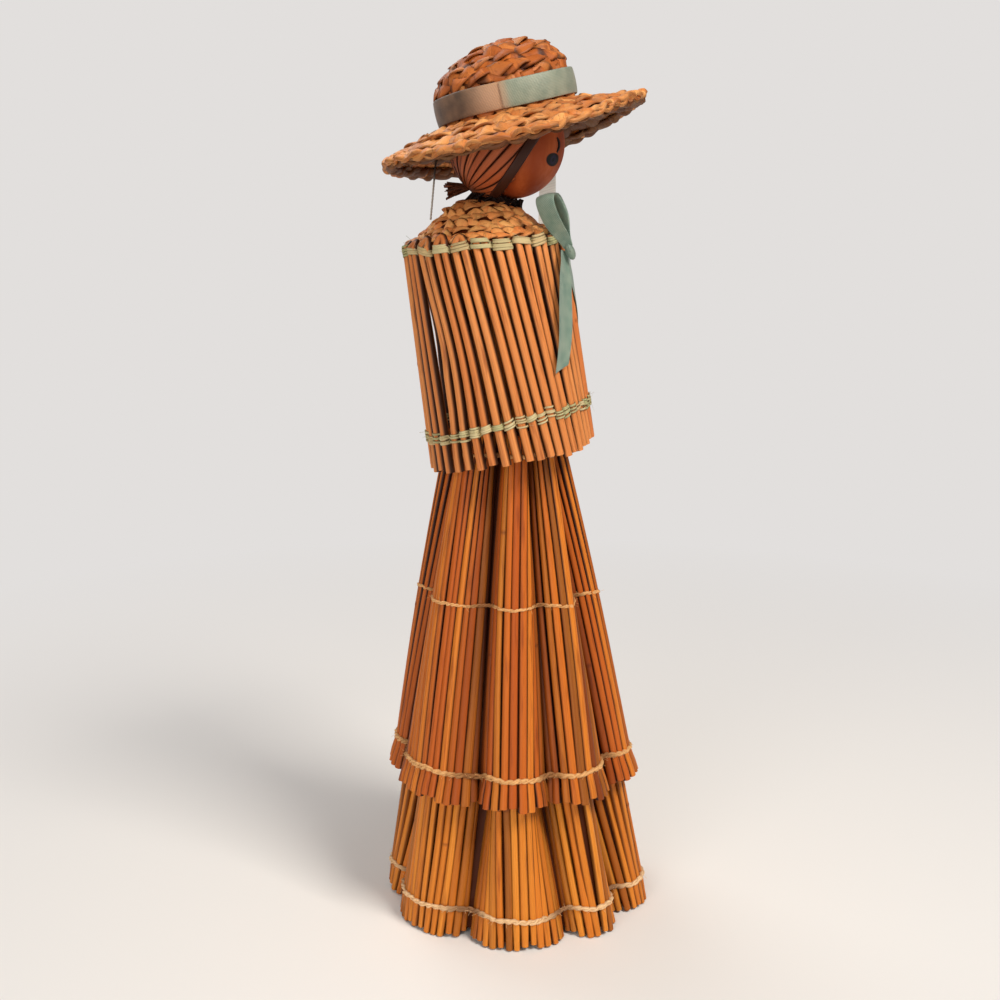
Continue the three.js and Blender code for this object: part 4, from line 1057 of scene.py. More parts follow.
def hemPlaces():
    places = []
    for pair in pairs:
        for leg in pair["legs"]:
            rise = lerp(winding["hemBack"], winding["hemFront"], (1 + math.cos(leg["hem"])) / 2)
            share = 1 - (rise + dice.uniform(-0.6, 0.6)) / torso["length"]
            centre = legPoint(leg, share)
            down = (legPoint(leg, share + 0.1) - centre).normalized()
            out = aroundCape(leg["hem"], 1, 1, 0)
            places.append((centre, out.cross(down).normalized(), out, down,
                           cape["hemGirth"] + winding["hemWide"], cape["hemGirth"] + winding["hemDeep"],
                           winding["hemTurns"] - dice.randrange(3),
                           winding["hemHeight"] * dice.uniform(0.6, 1.25)))
    return places


for pieceName, nodeName, placesOf, strand in (
        ("capeTopThread", "cape_top_thread", topPlaces, winding["topStrand"]),
        ("capeHemThread", "cape_hem_thread", hemPlaces, winding["hemStrand"])):
    wound = windLines(placesOf(), strand)
    thread = makeStrands(pieceName, wound, "greenThread", sides=8, flatness=winding["flatness"])
    settle(thread, "figure", "green_thread", nodeName)
print("cape threads made")


# neck and head

head = {"setForward": 4.2, "neckLean": 10, "gap": 1.6, "diameter": 29.6, "peg": 4.0, "pegDepth": 9,
        "pegReach": 7.4, "pegRound": 0.3, "bore": 2.35}
yokeDome = yoke["rise"] - yokeBall + math.sqrt(yokeBall ** 2 - head["setForward"] ** 2)
neckFrame = yokeFrame @ move(0, -head["setForward"], yokeDome + yoke["ridge"])
neckFrame = neckFrame @ turn(head["neckLean"] + yoke["lean"], "X")
headFrame = neckFrame @ move(0, 0, head["gap"] + head["diameter"] / 2)


def latheMesh(name, outline, place, around, finish):
    points, faces, count = [], [], len(outline)
    for k in range(around):
        angle = 2 * math.pi * k / around
        points += [place @ Vector((r * math.sin(angle), -r * math.cos(angle), z)) for r, z in outline]
    for k in range(around):
        for i in range(count):
            a, b = k * count + i, k * count + (i + 1) % count
            c, d = ((k + 1) % around) * count + (i + 1) % count, ((k + 1) % around) * count + i
            faces.append((a, d, c, b))
    return makeMesh(name, points, faces, finish)


# varnished wood with painted eyes and brows
face = {"radius": 15.2, "forward": 1.4, "up": 0.5, "eyeBearing": 40, "eyeRise": -10, "eyeWide": 3.1,
        "eyeTall": 1.9, "eyePaint": tint(14, 5, 7), "iris": 1.3, "irisPaint": tint(28, 16, 46), "pupil": 0.6,
        "pupilPaint": tint(10, 6, 10), "brow": ((40, 13), (35, 9), (34, 4), (37, -2)), "browSize": 0.8}
faceFrame = headFrame @ move(0, -face["forward"], face["up"])


def woodGroup():
    tree, given, made = newGroup("turned wood", ("Pale", "Deep"), ("Rings",))
    place = tree.nodes.new("ShaderNodeTexCoord").outputs["Object"]
    wander = noiseNode(tree, scaled(tree, place, (60.0, 60.0, 25.0)), 1.0, 2.0)
    fine = noiseNode(tree, scaled(tree, place, (900.0, 900.0, 120.0)), 1.0, 3.0)
    split = tree.nodes.new("ShaderNodeSeparateXYZ")
    link(tree, place, split.inputs[0])
    way = mathNode(tree, "ADD", mathNode(tree, "MULTIPLY", split.outputs[1], 900.0),
                   mathNode(tree, "MULTIPLY", wander, 9.0))
    rings = mathNode(tree, "SINE", mathNode(tree, "MULTIPLY", way, given["Rings"]))
    body = mixColour(tree, spread(tree, rings, -1.0, 1.0), given["Pale"], given["Deep"])
    body = mixColour(tree, mathNode(tree, "MULTIPLY", spread(tree, fine, 0.4, 0.75), 0.5), body, given["Deep"])
    link(tree, body, made["Color"])
    link(tree, spread(tree, fine, 0.3, 0.7, 0.52, 0.7), made["Roughness"])
    link(tree, fine, made["Height"])
    return tree


woodTree = woodGroup()
ballWood = {"Pale": tint(180, 86, 38), "Deep": tint(152, 64, 24), "Rings": 1.0}
finishes["wood"] = newMaterial("wood", woodTree, ballWood, 0.15, 0.00008, {"Specular IOR Level": 0.25})
pegWood = {"Pale": tint(84, 44, 24), "Deep": tint(52, 24, 12), "Rings": 2.0}
finishes["pegWood"] = newMaterial("pegWood", woodTree, pegWood, 0.2, 0.0001, {"Specular IOR Level": 0.3})


def onHead(bearing, rise, lift=0.0):  # bearing from the front over the doll's right, rise above the middle
    radius = face["radius"] + lift
    b, e = math.radians(bearing), math.radians(rise)
    return faceFrame @ Vector((-radius * math.cos(e) * math.sin(b), -radius * math.cos(e) * math.cos(b),
                               radius * math.sin(e)))


def paintFace(material):
    tree = material.node_tree
    shader = tree.nodes["Principled BSDF"]
    place = tree.nodes.new("ShaderNodeTexCoord").outputs["Object"]
    base = shader.inputs["Base Color"].links[0].from_socket
    for side in (1, -1):
        eye = onHead(side * face["eyeBearing"], face["eyeRise"]) * mm
        out = (eye - faceFrame.translation * mm).normalized()
        across = headFrame.to_3x3().col[2].cross(out).normalized()
        aim = tree.nodes.new("ShaderNodeVectorMath")
        aim.operation = "SUBTRACT"
        link(tree, place, aim.inputs[0])
        aim.inputs[1].default_value = eye
        reach = []
        for axis, size in ((across, face["eyeWide"]), (out.cross(across), face["eyeTall"])):
            along = tree.nodes.new("ShaderNodeVectorMath")
            along.operation = "DOT_PRODUCT"
            link(tree, aim.outputs[0], along.inputs[0])
            along.inputs[1].default_value = axis / (size * mm)
            reach.append(mathNode(tree, "MULTIPLY", along.outputs["Value"], along.outputs["Value"]))
        almond = mathNode(tree, "SQRT", mathNode(tree, "ADD", *reach))
        away = tree.nodes.new("ShaderNodeVectorMath")
        away.operation = "LENGTH"
        link(tree, aim.outputs[0], away.inputs[0])
        base = mixColour(tree, spread(tree, almond, 1.06, 0.92), base, face["eyePaint"])
        for size, paint in ((face["iris"], face["irisPaint"]), (face["pupil"], face["pupilPaint"])):
            inside = spread(tree, away.outputs["Value"], size * 1.1 * mm, size * 0.9 * mm)
            base = mixColour(tree, inside, base, paint)
    link(tree, base, shader.inputs["Base Color"])


def browLines():
    lines = []
    for side in (1, -1):
        spots = [Vector(spot) for spot in face["brow"]]
        points = [onHead(side * spot.x, spot.y, 0.02) for spot in evenly(spots, 10)]
        girths = [face["browSize"] * (0.4 + 0.6 * math.sin(math.pi * (i + 0.5) / 11)) for i in range(11)]
        facings = [(p - faceFrame.translation).normalized() for p in points]
        lines.append({"points": points, "girth": girths, "facing": facings, "tone": 0.5})
    return lines


paintFace(finishes["wood"])
ball, boreAngle = head["diameter"] / 2, math.asin(head["bore"] / face["radius"])
headOutline, headSteps = [], 48
for i in range(headSteps + 1):
    angle = lerp(-math.pi / 2 + boreAngle, math.pi / 2 - boreAngle, i / headSteps)
    headOutline.append((face["radius"] * math.cos(angle), face["radius"] * math.sin(angle)))
settle(latheMesh("headBall", headOutline, faceFrame, 72, "wood"), "head", "head_wood", "head")
settle(makeStrands("brows", browLines(), "darkCord", sides=6, flatness=0.12), "head", "head_wood")
pegRadius, pegRound = head["peg"] / 2, head["pegRound"]
pegFoot, pegTop = -head["pegDepth"], head["gap"] + ball + head["pegReach"]
pegOutline = [(0.02, pegFoot), (pegRadius - pegRound, pegFoot), (pegRadius, pegFoot + pegRound), (pegRadius, 0),
              (pegRadius, pegTop - pegRound), (pegRadius - pegRound, pegTop), (0.02, pegTop)]
settle(latheMesh("neckPeg", pegOutline, neckFrame, 24, "pegWood"), "figure", "head_wood", "neck_peg")


# hair: flat strips from the crown to the nape, edged by a dark strip, and the tuft they end in

hair = {"radius": 16.0, "strips": 36, "steps": 26, "nape": 58, "hairline": 4.4, "overrun": 1.2, "tilt": 23,
        "flatness": 0.13, "top": 150, "capRadius": 15.8, "capOverrun": 0.9, "edgeSteps": 48, "edgeGirth": 1.45,
        "edgeLift": 0.6, "stripShare": 0.62, "stripOverlap": 1.6, "stripLeast": 0.6, "tailDroop": 18,
        "tailLength": 7.4, "tailStrips": 36, "tailSpread": 17, "tailAside": 20,
        "tailGirths": [0.8, 1.5, 1.7, 1.6, 1.4, 0.9]}


def hairLines():
    nape = Vector((0, math.cos(math.radians(hair["nape"])), -math.sin(math.radians(hair["nape"]))))
    u = Vector((1, 0, 0))
    v = nape.cross(u)
    tilt = math.radians(hair["tilt"])
    cut = Vector((0, -math.cos(tilt), -math.sin(tilt)))
    lines = []
    for k in range(hair["strips"]):
        turnAngle = 2 * math.pi * (k + 0.5) / hair["strips"]
        way = u * math.cos(turnAngle) + v * math.sin(turnAngle)
        points, girths, facings, shades = [], [], [], []
        lift = 0.25 * (k % 2)
        for i in range(hair["steps"] + 1):
            angle = math.radians(lerp(7, hair["top"], i / hair["steps"]))
            facing = nape * math.cos(angle) + way * math.sin(angle)
            point = facing * (hair["radius"] + lift + 0.25 * math.sin(angle))
            if point.dot(cut) > hair["hairline"] + hair["overrun"]:
                break
            points.append(headFrame @ point)
            facings.append(headFrame.to_3x3() @ facing)
            share = hair["stripShare"] * hair["radius"] * math.sin(angle) * math.pi / hair["strips"]
            girths.append(max(share * hair["stripOverlap"], hair["stripLeast"]))
            shades.append(0.6 * smooth(34, 10, math.degrees(angle)))
        if len(points) > 2:
            lines.append({"points": points, "girth": girths, "facing": facings, "tone": dice.random(),
                          "shade": shades})
    edge, ways, radius = [], [], math.sqrt(hair["radius"] ** 2 - hair["hairline"] ** 2)
    across = Vector((0, -cut.z, cut.y))
    for i in range(hair["edgeSteps"] + 1):
        angle = 2 * math.pi * i / hair["edgeSteps"]
        out = u * math.cos(angle) + across * math.sin(angle)
        point = cut * hair["hairline"] + out * (radius + hair["edgeLift"])
        edge.append(headFrame @ point)
        ways.append(headFrame.to_3x3() @ point.normalized())
    lines.append({"points": edge, "girth": hair["edgeGirth"], "facing": ways, "tone": 0.9, "shade": 0.92})
    root = nape * (hair["radius"] - 0.3)
    for k in range(hair["tailStrips"]):
        droop = math.radians(hair["tailDroop"] + dice.uniform(-hair["tailSpread"], hair["tailSpread"]))
        aside = math.radians(dice.uniform(-hair["tailAside"], hair["tailAside"]))
        run = Vector((math.sin(aside), math.cos(droop) * math.cos(aside), -math.sin(droop)))
        length = hair["tailLength"] * dice.uniform(0.55, 1.0)
        curl = Vector((0, 0, dice.uniform(-0.8, 0.8)))
        points = [headFrame @ (root + run * length * t + curl * t * t) for t in (-0.25, 0, 0.25, 0.5, 0.75, 1)]
        facing = headFrame.to_3x3() @ Vector((dice.uniform(-0.6, 0.6), 0.2, 1)).normalized()
        lines.append({"points": points, "girth": hair["tailGirths"], "facing": facing,
                      "tone": dice.random(), "shade": 0.6 + 0.3 * dice.random()})
    return lines


# painted shade: the hair's dark shell stands for the shade between the strips
def hairCap():  # the dark ground under the strips
    low = math.asin(-(hair["hairline"] + hair["capOverrun"]) / hair["capRadius"])
    angles = [lerp(low, 1.568, i / 20) for i in range(21)]
    walls = ((hair["capRadius"], 1), (hair["capRadius"] - 0.3, -1))
    outline = [(r * math.cos(a), r * math.sin(a)) for r, order in walls for a in angles[::order]]
    return latheMesh("hairCap", outline, headFrame @ turn(hair["tilt"] - 90, "X"), 48, "shadeSheet")


hairStrips = makeStrands("hairStrips", hairLines(), "hair", sides=8, flatness=hair["flatness"])
settle(hairStrips, "head", "hair", "hair")
settle(hairCap(), "head", "hair")


# dark strands from under the head down to the yoke: partly a dark cord, partly painted shade under the head

neckCord = {"strands": 150, "rounds": 11, "inner": 2.6, "outer": 7.4, "spread": 1.6, "setBack": 1.2,
            "girth": 0.42, "spare": 0.35, "footLift": 0.6}


def neckLines():
    lines = []
    for k in range(neckCord["strands"]):
        angle = 2 * math.pi * k / neckCord["strands"] * neckCord["rounds"]
        r = lerp(neckCord["inner"], neckCord["outer"], math.sqrt(dice.random()))
        under = head["gap"] + ball - math.sqrt(face["radius"] ** 2 - r ** 2)
        under = under - neckCord["spare"] - neckCord["girth"]
        top = neckFrame @ Vector((r * math.cos(angle), r * math.sin(angle), under))
        wide = r + neckCord["spread"] * dice.uniform(0.2, 1.0)
        angle += dice.uniform(-0.9, 0.9)
        flat = Vector((wide * math.cos(angle), wide * math.sin(angle) + neckCord["setBack"], 0))
        foot = yokeFrame.inverted() @ (neckFrame @ flat)
        reach = math.hypot(foot.x / yokeStretch, foot.y)
        dome = yoke["rise"] - yokeBall + math.sqrt(yokeBall ** 2 - reach ** 2)
        foot.z = dome + neckCord["footLift"] + yoke["crest"] * smooth(*yoke["crestFade"], reach)
        foot = yokeFrame @ foot
        bent = top.lerp(foot, 0.5) + Vector((dice.uniform(-0.6, 0.6), dice.uniform(-0.6, 0.6), -0.3))
        lines.append({"points": evenly([top, top.lerp(bent, 0.6), bent.lerp(foot, 0.4), foot], 6),
                      "girth": neckCord["girth"] * dice.uniform(0.7, 1.2), "facing": Vector((1, 0, 0)),
                      "tone": dice.random()})
    return lines


settle(makeStrands("neckCord", neckLines(), "darkCord", sides=6), "figure", "hair")
print("head made")


# hat: a plait over a rounded crown and a bent brim

hat = {"lean": 13.4, "setForward": 1.0, "setUp": 4.3, "crown": 18.18, "crownHeight": 24.2, "crownRound": 11,
       "brimRootHeight": 4, "rootRound": 1, "brim": 38.9, "sag": 6.7, "lift": 3.5, "frontCurl": 0.3,
       "backCurl": 1.8, "bandRise": 5.3, "bandWidth": 7.2, "bandRadius": 19.95, "sink": 1.0, "slope": 0.055,
       "thickness": 1.0, "braidStart": 2.4, "braidEnd": 4.2, "underStart": 17, "underEnd": 4.4, "rimStart": 2.4,
       "rimEnd": 1.99, "lowRimStart": 3.1, "lowRimEnd": 2.69, "shadeEnd": 1.5, "underDark": 0.84,
       "rimDark": 0.8}
hatFrame = headFrame @ move(0, -hat["setForward"], hat["setUp"]) @ turn(-(hat["lean"] + head["neckLean"]), "X")
brimRoot = hat["crown"] + hat["rootRound"]


def hatProfile():
    line = []
    for i in range(33):
        angle = math.pi / 2 * (1 - i / 32)
        line.append(Vector((hat["crown"] * math.cos(angle),
                            hat["crownHeight"] - hat["crownRound"] * (1 - math.sin(angle)))))
    low = hat["brimRootHeight"]
    line.append(Vector((hat["crown"], low + hat["rootRound"])))
    line.append(Vector((hat["crown"] + 0.3 * hat["rootRound"], low + 0.3 * hat["rootRound"])))
    line.append(Vector((brimRoot, low)))
    line.append(Vector((hat["brim"], 0)))
    return line


hatSteps = 400
hatLine = evenly(hatProfile(), hatSteps)
hatLength = lineLength(hatLine)


def brimBend(radius, bearing):
    share = max((radius - brimRoot) / (hat["brim"] - brimRoot), 0)
    sides = hat["lift"] * math.sin(bearing) - hat["sag"] * math.sin(bearing) ** 2
    curl = hat["frontCurl"] if math.cos(bearing) > 0 else hat["backCurl"]
    return share ** 2 * (sides + curl * math.cos(bearing))


def hatSurface(s, bearing):
    place = min(max(s / hatLength, 0), 0.9999) * hatSteps
    k = int(place)
    radius, height = hatLine[k].lerp(hatLine[k + 1], place - k)
    if s > hatLength:
        radius += s - hatLength
    height += brimBend(radius, bearing)
    height -= smooth(12, 21, height) * (hat["sink"] - hat["slope"] * radius * math.cos(bearing))
    return hatFrame @ Vector((-radius * math.sin(bearing), -radius * math.cos(bearing), height))


hatUp = hatFrame.to_3x3() @ Vector((0, 0, 1))


def hatUnderside(s, bearing):
    return hatSurface(s, bearing) - hatUp * hat["thickness"]


rimBraid = dict(plait, broad=1.0, row=0.4, width=4.0, straw=3.0, period=19.0, lift=0.45, rough=0.5)
hatBraids = braidLines(hatSurface, hat["braidStart"], hatLength - hat["braidEnd"], hatUp, plait)
# painted shade: the braid under the brim is darkened (underDark)
hatBraids += braidLines(hatUnderside, hatLength - hat["underStart"], hatLength - hat["underEnd"], -hatUp,
                        dict(plait, dark=hat["underDark"]))
hatPlait = makeStrands("hatPlait", hatBraids, "plait", sides=8, flatness=plait["thickness"])
settle(hatPlait, "head", "plait", "hat")
rimBraids = braidLines(hatSurface, hatLength - hat["rimStart"], hatLength - hat["rimEnd"], hatUp, rimBraid)
# painted shade: the rim's lower braid is darkened (rimDark)
rimBraids += braidLines(hatUnderside, hatLength - hat["lowRimStart"], hatLength - hat["lowRimEnd"], -hatUp,
                        dict(rimBraid, dark=hat["rimDark"]))
settle(makeStrands("hatRim", rimBraids, "plait", sides=8, flatness=0.5), "head", "plait")
settle(shadeShell("hatShadeShell", hatSurface, hatLength - hat["shadeEnd"], "shadeSheet", 0.4), "head", "plait")
print("hat made, braid over", round(hatLength), "mm of profile")


# ribbons: the hat's band and the bow

# a ribbon from its rows across, station by station
def ribbonMesh(name, rows, thickness, finish="ribbon", marks=None):
    count = len(rows[0])
    points = [p for row in rows for p in row]
    uv, walked = [], 0.0
    for i, row in enumerate(rows):
        if i:
            walked += (row[count // 2] - rows[i - 1][count // 2]).length
        side = 0.0
        for k, p in enumerate(row):
            side += (p - row[k - 1]).length if k else 0.0
            uv.append((walked, side))
    faces = []
    for i in range(len(rows) - 1):
        for k in range(count - 1):
            a = i * count + k
            faces.append((a, a + 1, a + count + 1, a + count))
    marked = {label: [value(i / (len(rows) - 1)) for i in range(len(rows)) for _ in range(count)]
              for label, value in (marks or {}).items()}
    return makeMesh(name, points, faces, finish, uv=uv, marks=marked, thickness=thickness, subdivide=1)


band = {"seam": 85, "overlap": 14, "steps": 110, "across": 6, "thickness": 0.3, "belly": 0.25, "ripple": 0.12,
        "overlapLift": 0.4, "flare": 0.7, "wave": 0.25, "litTint": 0.16, "endFade": 0.8, "stainAndShade": 0.8}


def bandRows():
    rows = []
    for i in range(band["steps"] + 1):
        t = i / band["steps"]
        bearing = math.radians(band["seam"] + lerp(0, 360 + band["overlap"], t))
        row = []
        for k in range(band["across"] + 1):
            v = k / band["across"]
            radius = hat["bandRadius"] + band["belly"] * math.sin(math.pi * v)
            radius += band["ripple"] * math.sin(7 * bearing)
            radius += band["overlapLift"] * smooth(0.93, 0.97, t)
            radius += band["flare"] * (1 - v) * smooth(0.25, 0.35, t) * smooth(0.75, 0.6, t)
            wave = band["wave"] * math.sin(3 * bearing + 0.8)
            height = hat["bandRise"] + v * hat["bandWidth"] + wave
            row.append(hatFrame @ aroundCape(bearing, radius, radius, height))
        rows.append(row)
    return rows


# painted shade: the band's back half is darkened; painted light: litTint lays a little of the paler faded
# colour over its front
bandMarks = {"faded": lambda t: max(smooth(0.0, 0.012, t) * smooth(0.62, 0.45, t),
                                    band["litTint"] * smooth(0.5, 0.7, t),
                                    band["endFade"] * smooth(0.972, 1.0, t)),
             "shade": lambda t: band["stainAndShade"] * smooth(0.05, 0.13, t) * smooth(0.62, 0.45, t)}
settle(ribbonMesh("hatBand", bandRows(), band["thickness"], marks=bandMarks), "head", "ribbon", "hat_band")

bow = {"bearing": 33, "turn": 10, "drop": 4.6, "lean": 24, "width": 6, "knotWidth": 4.4, "knotDepth": 2.3,
       "knotHeight": 4.6, "knotThickness": 0.3, "knotGap": 0.55, "loopLength": 16.2, "loopSwell": 2.7,
       "loopAngle": 68, "loopTwist": 32, "loopRoot": 1.2, "tailDrop": 38, "rightSweep": 20, "leftSweep": 62,
       "thickness": 0.26, "threadLift": 1.5, "closeLift": 0.3, "knotShade": 0.3, "loopShade": 0.08,
       "tailShade": 0.1, "tailBelly": 0.9, "tailRipple": 0.2, "tailSlant": 3.0, "tailTaper": 0.78,
       "nearCup": 0.5, "farCup": -0.1}


def capeFace(bearing, share, lift):
    facing = aroundCape(bearing, 1, 1, 0)
    stalk = lerp(skirt["tip"], skirt["root"], share) / 2
    return capePoint(bearing, bearing, share) + facing * (stalk + lift), facing


bowBearing = math.radians(bow["bearing"])
knotShare = bow["drop"] / torso["length"]
knotSeat = capeFace(bowBearing, knotShare, bow["threadLift"] + bow["knotGap"] + bow["knotDepth"] / 2)[0]
bowFrame = torsoFrame @ move(*knotSeat) @ turn(-bow["turn"], "Z") @ turn(torso["lean"] - bow["lean"], "X")


def knotMesh():
    rows, around, wide = [], 24, 8
    for i in range(around + 1):
        angle = 2 * math.pi * i / around
        row = []
        for k in range(wide + 1):
            v = k / wide * 2 - 1
            pinch = math.sqrt(1.0004 - v ** 4)
            crease = 1 + 0.05 * math.sin(3.2 * math.pi * v + 1.3 * math.sin(angle))
            row.append(bowFrame @ Vector((v * bow["knotWidth"] / 2,
                                          bow["knotDepth"] / 2 * math.sin(angle) * pinch * crease,
                                          bow["knotHeight"] / 2 * math.cos(angle) * pinch * crease)))
        rows.append(row)
    return ribbonMesh("bowKnot", rows, bow["knotThickness"], marks={"shade": lambda t: bow["knotShade"]})


def loopMesh(name, side):
    root, reach, swell = bow["loopRoot"], bow["loopLength"] + bow["knotHeight"] / 2, bow["loopSwell"]
    a, b = Vector((root, 0)), Vector((reach, 0))
    controls = [(a, Vector(((root + reach) / 2, -swell)), Vector((reach, -swell)), b),
                (b, Vector((reach, swell)), Vector(((root + reach) / 2, swell)), a)]
    line = []
    for p0, p1, p2, p3 in controls:
        for i in range(13):
            t = i / 12
            line.append(p0 * (1 - t) ** 3 + p1 * 3 * t * (1 - t) ** 2 + p2 * 3 * t * t * (1 - t) + p3 * t ** 3)
    line = evenly(line, 26)
    angle, twist = math.radians(bow["loopAngle"]), math.radians(bow["loopTwist"])
    rows = []
    for i, p in enumerate(line):
        t = i / (len(line) - 1)
        wide = bow["width"] * lerp(0.45, 1.0, smooth(0, 0.3, min(t, 1 - t)))
        twisted = twist * smooth(root, reach * 0.6, p.x)
        row = []
        for k in range(7):
            v = k / 6 - 0.5
            curl = 0.5 * (2 * v) ** 2 * math.sin(math.pi * t)
            y = v * wide * math.cos(twisted) - p.y * math.sin(twisted)
            x, z = p.x - curl, v * wide * math.sin(twisted) + p.y * math.cos(twisted)
            turned = Vector((x * math.cos(angle) - z * math.sin(angle), y,
                             x * math.sin(angle) + z * math.cos(angle)))
            turned.x *= side
            row.append(bowFrame @ turned)
        rows.append(row)
    return ribbonMesh(name, rows, bow["thickness"], marks={"shade": lambda t: bow["loopShade"]})


def tailMesh(name, side, swept):
    start = (bow["width"] / 2 + 0.3) / foldDepth
    steps, stations, cup = 24, [], bow["nearCup"] if side > 0 else bow["farCup"]
    for i in range(steps + 1):
        t = i / steps
        sweep = lerp(start * 0.4, math.radians(swept), t)
        drop = lerp(knotShare - 0.01, bow["tailDrop"] / torso["length"], t)
        lift = bow["threadLift"] * lerp(1, 0.3, t) + bow["tailBelly"] * math.sin(math.pi * t)
        lift += bow["tailRipple"] * math.sin(9 * t + side)
        if side < 0:  # the far tail lies close to the cape
            lift = lerp(bow["threadLift"], bow["closeLift"], smooth(0, 0.2, t))
        stations.append(capeFace(bowBearing + side * sweep, drop, lift))
    rows = []
    for i, (place, facing) in enumerate(stations):
        t = i / steps
        before, after = stations[max(i - 1, 0)][0], stations[min(i + 1, steps)][0]
        along = (after - before).normalized()
        across = along.cross(facing).normalized()
        wide = bow["width"] * lerp(0.6, 1.0, smooth(0, 0.25, t))
        wide *= lerp(1.0, bow["tailTaper"], smooth(0.5, 1.0, t))
        row = []
        for k in range(7):
            v = k / 6 - 0.5
            cut = along * (bow["tailSlant"] * v * side) * smooth(0.9, 1.0, t)
            row.append(torsoFrame @ (place + across * v * wide + facing * cup * (2 * v) ** 2 + cut))
        rows.append(row)
    return ribbonMesh(name, rows, bow["thickness"], marks={"shade": lambda t: bow["tailShade"]})


settle(knotMesh(), "figure", "ribbon", "bow_knot")
settle(loopMesh("bowLoopRight", -1), "figure", "ribbon", "bow_loop_right")
settle(loopMesh("bowLoopLeft", 1), "figure", "ribbon", "bow_loop_left")
settle(tailMesh("bowTailRight", 1, bow["rightSweep"]), "figure", "ribbon", "bow_tail_right")
settle(tailMesh("bowTailLeft", -1, bow["leftSweep"]), "figure", "ribbon", "bow_tail_left")
print("ribbons made")


# ties between the brim and the yoke

ties = {"backBrim": 22, "backBearing": 196, "backFoot": 14.2, "frontBrim": 23, "frontBearing": -57,
        "frontFoot": 18.3, "frontFootBearing": -15, "tapeWidth": 5.5, "tape": 0.3, "cord": 0.24,
        "cordTurns": 12, "under": 1.6, "over": 0.6, "bend": 2.2, "tapeFacing": (-0.95, -0.3, 0),
        "tapeBelly": 0.8, "tapeCup": 0.35}


def brimUnderside(radius, bearing):
    share = (hat["brim"] - radius) / (hat["brim"] - brimRoot)
    height = hat["brimRootHeight"] * share + brimBend(radius, bearing) - ties["under"]
    return hatFrame @ aroundCape(bearing, radius, radius, height)


def yokeTop(radius, bearing):
    slope = math.asin(radius / yokeBall)
    reach = yokeBall + yoke["ridge"] + ties["over"]
    out, height = reach * math.sin(slope), yoke["rise"] - yokeBall + reach * math.cos(slope)
    return yokeFrame @ aroundCape(bearing, out * yokeStretch, out, height)


def backTieLines(foot, top):
    lines, steps = [], 60
    for phase in (0.0, math.pi):
        points = []
        for i in range(steps + 1):
            t = i / steps
            angle = 2 * math.pi * ties["cordTurns"] * t + phase
            bent = Vector((0, -ties["bend"] * smooth(0.72, 1.0, t), 0))
            twist = Vector((math.cos(angle), math.sin(angle), 0)) * ties["cord"] * 0.4
            points.append(foot.lerp(top, t) + bent + twist)
        # painted shade: the cord's upper part is darkened under the brim
        lines.append({"points": points, "girth": ties["cord"], "facing": Vector((1, 0, 0)),
                      "tone": 0.3 + phase / 9,
                      "shade": [0.95 * smooth(0.4, 0.62, i / steps) for i in range(steps + 1)]})
    return lines


def frontTieMesh(foot, top):
    rows, steps = [], 18
    for i in range(steps + 1):
        t = i / steps
        facing = Vector(ties["tapeFacing"]).normalized()
        place = foot.lerp(top, t) + facing * ties["tapeBelly"] * math.sin(math.pi * t)
        across = (top - foot).normalized().cross(facing).normalized()
        row = []
        for k in range(7):
            v = k / 6 - 0.5
            row.append(place + across * v * ties["tapeWidth"] + facing * ties["tapeCup"] * (2 * v) ** 2)
        rows.append(row)
    return ribbonMesh("frontTie", rows, ties["tape"], "tape")


backBearing = math.radians(ties["backBearing"])
backFoot, backTop = yokeTop(ties["backFoot"], backBearing), brimUnderside(ties["backBrim"], backBearing)
backTie = makeStrands("backTie", backTieLines(backFoot, backTop), "tie", sides=6)
footBearing, topBearing = math.radians(ties["frontFootBearing"]), math.radians(ties["frontBearing"])
frontFoot, frontTop = yokeTop(ties["frontFoot"], footBearing), brimUnderside(ties["frontBrim"], topBearing)
frontTie = frontTieMesh(frontFoot, frontTop)
for tie, foot, top, nodeName in ((backTie, backFoot, backTop, "back_hat_tie"),
                                 (frontTie, frontFoot, frontTop, "front_hat_tie")):
    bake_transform(tie)
    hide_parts(nodeName)
print("ties made")


# floor and light

stage = {"floor": tint(238, 234, 229), "back": tint(226, 223, 221), "size": 8.0, "near": 0.06, "far": 0.45,
         "rough": 0.8, "world": 0.26, "worldTint": tint(240, 238, 240)}
lamps = {  # place, aim, power, size and colour
    "key": ((-0.5, -0.44, 0.9), (0, 0, 0.14), 9.2, 0.34, (1.0, 0.96, 0.9)),
    "fill": ((-0.75, 0.45, 0.35), (0, 0, 0.12), 3.0, 0.5, (1.0, 0.97, 0.93)),
    "rim": ((0.5, 0.3, 0.7), (0, 0, 0.15), 2.0, 0.5, (1.0, 0.98, 0.95)),
}


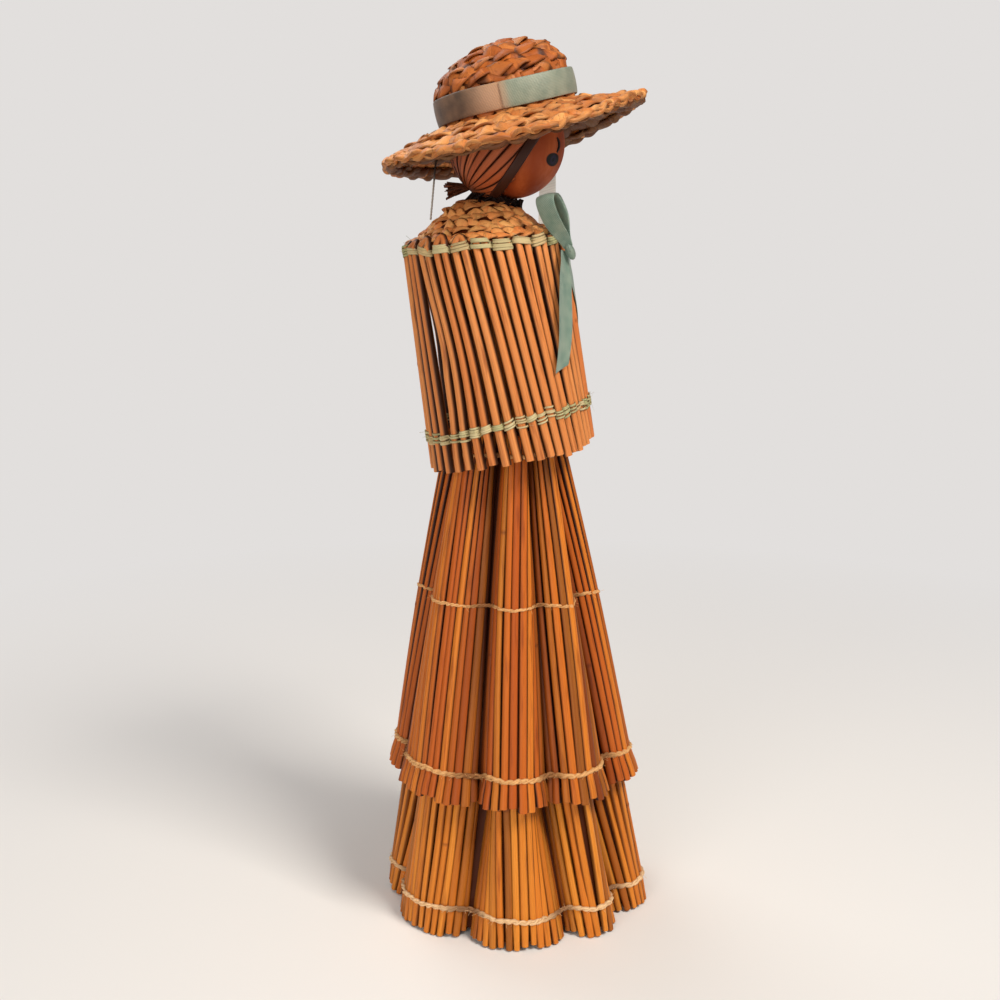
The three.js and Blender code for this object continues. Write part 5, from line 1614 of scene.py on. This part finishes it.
def makeFloor():
    half = stage["size"] / 2
    mesh = bpy.data.meshes.new("floor")
    corners = [(-half, -half, 0), (half, -half, 0), (half, half, 0), (-half, half, 0)]
    mesh.from_pydata(corners, [], [(0, 1, 2, 3)])
    material = bpy.data.materials.new("floor")
    material.use_nodes = True
    tree = material.node_tree
    shader = tree.nodes["Principled BSDF"]
    shader.inputs["Base Color"].default_value = stage["floor"]
    shader.inputs["Roughness"].default_value = stage["rough"]
    glow = tree.nodes.new("ShaderNodeEmission")
    glow.inputs["Color"].default_value = stage["back"]
    away = tree.nodes.new("ShaderNodeVectorMath")
    away.operation = "LENGTH"
    link(tree, tree.nodes.new("ShaderNodeTexCoord").outputs["Object"], away.inputs[0])
    seen = tree.nodes.new("ShaderNodeLightPath").outputs["Is Camera Ray"]
    share = mathNode(tree, "MULTIPLY", spread(tree, away.outputs["Value"], stage["near"], stage["far"]), seen)
    both = tree.nodes.new("ShaderNodeMixShader")
    link(tree, share, both.inputs[0])
    link(tree, shader.outputs[0], both.inputs[1])
    link(tree, glow.outputs[0], both.inputs[2])
    link(tree, both.outputs[0], tree.nodes["Material Output"].inputs["Surface"])
    mesh.materials.append(material)
    floor = bpy.data.objects.new("floor", mesh)
    scene.collection.objects.link(floor)
    floor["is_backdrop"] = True


def makeWorld():
    world = bpy.data.worlds.new("studio")
    world.use_nodes = True
    tree = world.node_tree
    back = tree.nodes["Background"]
    seen = tree.nodes.new("ShaderNodeLightPath").outputs["Is Camera Ray"]
    link(tree, mixColour(tree, seen, stage["worldTint"], stage["back"]), back.inputs["Color"])
    link(tree, spread(tree, seen, 0.0, 1.0, stage["world"], 1.0), back.inputs["Strength"])
    scene.world = world


def addLight(name, spot, aim, power, size, shade):
    lamp = bpy.data.lights.new(name, "AREA")
    lamp.energy, lamp.size, lamp.color = power, size, shade
    holder = bpy.data.objects.new(name, lamp)
    scene.collection.objects.link(holder)
    way = Vector(aim) - Vector(spot)
    holder.matrix_world = Matrix.Translation(spot) @ way.to_track_quat("-Z", "Y").to_matrix().to_4x4()


makeFloor()
makeWorld()
for lampName, lampValues in lamps.items():
    addLight(lampName, *lampValues)
print("floor and lamps made")

triangles = 0
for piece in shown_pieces():
    piece.data.calc_loop_triangles()
    triangles += len(piece.data.loop_triangles)
print("all made:", triangles, "triangles")
